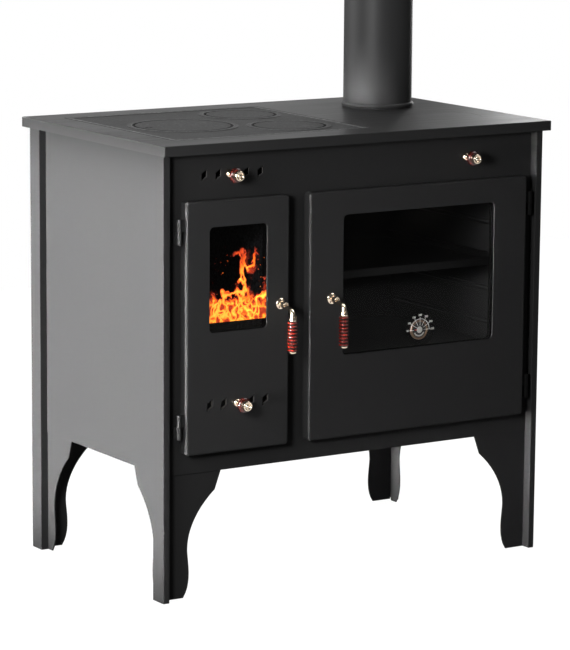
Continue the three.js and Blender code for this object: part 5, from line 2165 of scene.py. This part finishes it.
    def _number(self, text: str, angle: float, front: float) -> bpy.types.Object:
        """A plain number beside the end of its mark.

        Args:
            text: The number.
            angle: The mark's angle in degrees.
            front: The y of its front.

        Returns:
            The number, as a mesh.
        """
        Bench.clear()
        away = Vector((math.cos(math.radians(angle)), 0.0, math.sin(math.radians(angle))))
        place = self.hub_point + away * self.number_radius
        place.y = front + self.ink
        bpy.ops.object.text_add(location=place, rotation=(QUARTER_TURN, 0.0, 0.0))
        number = bpy.context.object
        number.data.body = text
        number.data.size = self.number_height
        number.data.extrude = self.ink / 2
        number.data.align_x = "CENTER"
        number.data.align_y = "CENTER"
        number.data.offset = self.number_weight
        bpy.ops.object.convert(target="MESH")
        number = Bench.named(f"number_{text}")
        with Bench.editing(number):
            bpy.ops.mesh.remove_doubles(threshold=MERGE)
        return number

    def _scale(self) -> None:
        """The scale: an arc, marks and their numbers on the cover, and a crescent on the dial."""
        on_dial = self.dial - self.dial_gap - self.ink
        on_ring = self.front - self.cover_thickness - self.ink
        outer = self.arc_radius + self.arc_width
        marks = [self._band("thermometer_scale", self.arc_radius, outer, *self.arc_ends, on_ring)]
        for index, text in enumerate(self.numbers):
            angle = self.scale_span - self.scale_span * index / (len(self.numbers) - 1)
            inner = self.pointer_reach if index == 0 else self.tick_inner
            marks.append(self._tick(angle, inner, self.tick_outer, on_ring))
            marks.append(self._number(text, angle, on_ring))
        scale = self._joined("thermometer_scale", marks)
        dress(scale, Finishes.marks, "oven_door_leaf")
        crescent = self._band(
            "thermometer_crescent", self.crescent_inner, self.crescent_outer, *self.crescent_ends, on_dial
        )
        dress(crescent, Finishes.dial, "oven_door_leaf")

    @staticmethod
    def _joined(name: str, parts: Sequence[bpy.types.Object]) -> bpy.types.Object:
        """Joins flat marks into one piece.

        Args:
            name: The piece's name.
            parts: The marks.

        Returns:
            The piece.
        """
        Bench.hold(parts[0])
        for part in parts:
            part.select_set(True)
        bpy.ops.object.join()
        return Bench.named(name)

    def _pointer(self) -> None:
        """The red pointer and the white hub over it."""
        refine("thermometer_pointer", self.dial_gap, Finishes.pointer, "pointer")
        low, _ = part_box("thermometer_pointer")
        back = low[1] - self.dial_gap
        rim = back - self.hub_edge
        brow = rim - self.hub_edge
        profile = (
            (0.0, back),
            (self.hub, back),
            (self.hub * 0.96, rim),
            (self.hub * 0.5, brow),
            (0.0, brow - self.hub_crown),
        )
        hub = Bench.turned("thermometer_hub", profile, self.hub_point, Axis.ALONG_Y, self.hub_sides)
        Bench.softened(hub, self.hub_soft, 1, SMOOTH_TURNED)
        dress(hub, Finishes.dial, "pointer")

    def build(self) -> None:
        """Makes the thermometer."""
        self._ring()
        self._cover()
        self._scale()
        self._pointer()


@dataclass
class GlassPrint:
    """The plain ember design printed on the firebox glass."""

    inset: float = 0.0005
    foot: float = 0.018
    ink: float = 0.00015

    def build(self) -> None:
        """Makes the print as a thin skin in the window, just clear of the glass."""
        low, high = corners("fire_door_glass")
        lap = Door.glass_overlap + self.inset
        bottom = low.z + lap + self.foot
        skin = Bench.block(
            "fire_glass_print",
            (low.x + lap, low.y - 2 * self.ink, bottom),
            (high.x - lap, low.y - self.ink, high.z - lap),
        )
        corner = Door.window_corner
        top = high.z - lap

        def is_upper_corner(centre: Vector, direction: Vector) -> bool:
            """Whether an edge is one of the skin's two upper corners."""
            return abs(direction.y) > NEARLY_ONE and abs(centre.z - top) < corner

        Bench.round_edges(skin, corner, ROUND_STEPS, is_upper_corner)
        # The printed design also gives off light as a painted glow.
        finish = EmberPrint("ember print", Slot.PRINT, (0.5, 0.2, 0.05), 0.4, low=bottom, high=top)
        skin.visible_glossy = False
        dress(skin, finish, "firebox_door")


@dataclass
class Lamp:
    """A rectangular studio lamp."""

    name: str
    place: Point
    aim: Point
    width: float
    height: float
    power: float
    spread: float = math.pi
    on_matt: bool = True

    def build(self) -> None:
        """Adds the lamp, unseen by the camera; one that is not on matt shows only in glossy pieces."""
        light = bpy.data.lights.new(self.name, "AREA")
        light.shape = "RECTANGLE"
        light.size = self.width
        light.size_y = self.height
        light.energy = self.power
        light.spread = self.spread
        lamp = bpy.data.objects.new(self.name, light)
        bpy.context.scene.collection.objects.link(lamp)
        lamp.location = self.place
        heading = Vector(self.aim) - Vector(self.place)
        lamp.rotation_euler = heading.to_track_quat("-Z", "Y").to_euler()
        lamp.visible_camera = False
        lamp.visible_diffuse = self.on_matt


@dataclass
class Studio:
    """Camera, lamps, pale floor and pale surroundings."""

    camera_place: Point = (-3.313855, -5.200918, 1.554805)
    yaw: float = math.radians(32.4012)
    pitch: float = math.radians(10.1747)
    roll: float = math.radians(0.43996)
    focal_pixels: float = 3216.865
    long_side_pixels: float = 650.0
    sensor: float = 36.0
    floor_half: float = 3.0
    floor_rim: float = 0.1
    floor_glow: float = 0.97
    floor_shade: float = 0.06
    surroundings: float = 0.08
    backdrop: float = 1.0
    near_clip: float = 0.1
    far_clip: float = 100.0
    lamps: tuple[Lamp, ...] = (
        Lamp("side", (-1.9, 0.01, 0.455), (-0.4, 0.06, 0.435), 0.74, 0.8, 19.1, math.radians(10.0)),
        Lamp("key left", (-2.0, -1.7, 1.2), (-0.1, -0.28, 0.6), 0.4, 0.5, 45.0),
        Lamp("grazing left", (-1.9, -0.85, 1.15), (-0.1, -0.2, 0.6), 0.5, 1.0, 20.0),
        Lamp("rear left", (-3.2, 2.2, 1.1), (-0.4, 0.1, 0.5), 1.6, 1.6, 80.0),
        Lamp("rear", (1.5, 4.2, 1.7), (0.1, 0.2, 0.85), 2.6, 1.2, 16.5),
        Lamp("overhead", (-0.6, 0.6, 3.4), (0.0, 0.1, 0.8), 2.4, 1.8, 50.0),
        Lamp("far side", (3.2, 2.4, 1.4), (0.3, 0.1, 0.5), 1.6, 1.6, 55.0),
        Lamp("front card", (-3.0, -4.0, 2.2), (0.0, -0.2, 0.5), 1.3, 1.3, 40.0, on_matt=False),
        Lamp("strip", (-3.4, -2.4, 1.7), (0.0, -0.2, 0.5), 0.5, 1.4, 150.0, on_matt=False),
        Lamp("back card", (-1.6, 2.2, 2.1), (0.0, -0.2, 0.6), 2.0, 1.6, 110.0, on_matt=False),
        Lamp("high card", (1.5, -0.9, 2.9), (0.0, -0.3, 0.5), 1.6, 1.6, 45.0, on_matt=False),
    )

    def _camera(self) -> None:
        """The camera at the photograph's place, with its lens."""
        data = bpy.data.cameras.new("camera")
        data.sensor_width = self.sensor
        data.lens = self.focal_pixels * self.sensor / self.long_side_pixels
        data.clip_start = self.near_clip
        data.clip_end = self.far_clip
        camera = bpy.data.objects.new("camera", data)
        bpy.context.scene.collection.objects.link(camera)
        turn = Matrix.Rotation(-self.yaw, 4, "Z")
        turn = turn @ Matrix.Rotation(QUARTER_TURN - self.pitch, 4, "X")
        turn = turn @ Matrix.Rotation(self.roll, 4, "Z")
        camera.matrix_world = Matrix.Translation(self.camera_place) @ turn
        bpy.context.scene.camera = camera

    def _floor(self) -> None:
        """A wide pale floor with a faint clouding."""
        Bench.clear()
        bpy.ops.mesh.primitive_plane_add(size=2 * self.floor_half)
        floor = Bench.named("floor")
        with Bench.editing(floor):
            bpy.ops.mesh.inset(thickness=self.floor_rim)
        tree = FinishTree("pale floor")
        clouds = tree.noise(0.6, 2.0)
        tree.surface(
            Base_Color=tree.blended(clouds, (self.floor_shade,) * 3, (self.floor_shade * 1.1,) * 3),
            Roughness=0.8,
            Specular_IOR_Level=0.1,
            Emission_Color=(1.0, 1.0, 1.0),
            Emission_Strength=self.floor_glow,
        )
        floor.data.materials.append(tree.material)
        floor.visible_diffuse = False

    def _surroundings(self) -> None:
        """A white backdrop behind the stove, and weak even light from all round."""
        world = bpy.data.worlds.new("surroundings")
        world.use_nodes = True
        tree = world.node_tree
        background = tree.nodes["Background"]
        background.inputs["Color"].default_value = (1.0, 1.0, 1.0, 1.0)
        path = tree.nodes.new("ShaderNodeLightPath")
        strength = tree.nodes.new("ShaderNodeMapRange")
        strength.inputs["To Min"].default_value = self.surroundings
        strength.inputs["To Max"].default_value = self.backdrop
        tree.links.new(path.outputs["Is Camera Ray"], strength.inputs["Value"])
        tree.links.new(strength.outputs["Result"], background.inputs["Strength"])
        bpy.context.scene.world = world

    def build(self) -> None:
        """Sets up the studio."""
        bpy.context.scene.view_settings.view_transform = "Standard"
        self._camera()
        self._floor()
        self._surroundings()
        for lamp in self.lamps:
            lamp.build()


def main() -> None:
    """Builds the studio and the stove in order."""
    logging.basicConfig(level=logging.INFO, format="%(message)s")
    Studio().build()
    Casing().build()
    Hob().build()
    Inside().build()
    Door("fire_door", "firebox_door", Finishes.casing, slots=True).build()
    # The oven door's hinges take the near-black paint as painted shade.
    Door("oven_door", "oven_door_leaf", Finishes.hinge).build()
    LatchHandle("fire_door", "firebox_latch").build()
    LatchHandle("oven_door", "oven_latch").build()
    Knob("upper_air_knob", "upper_air_slide").build()
    Knob("lower_air_knob", "lower_air_slide").build()
    Knob("damper_knob", "flue_damper").build()
    for node, body in (
        ("upper_air_plate", "upper_air_slide"),
        ("lower_air_plate", "lower_air_slide"),
        ("damper_plate", "flue_damper"),
    ):
        refine(node, FINE_EDGE, Finishes.steel, body)
    Thermometer().build()
    GlassPrint().build()
    Bench.clear()


if __name__ == "__main__":
    main()
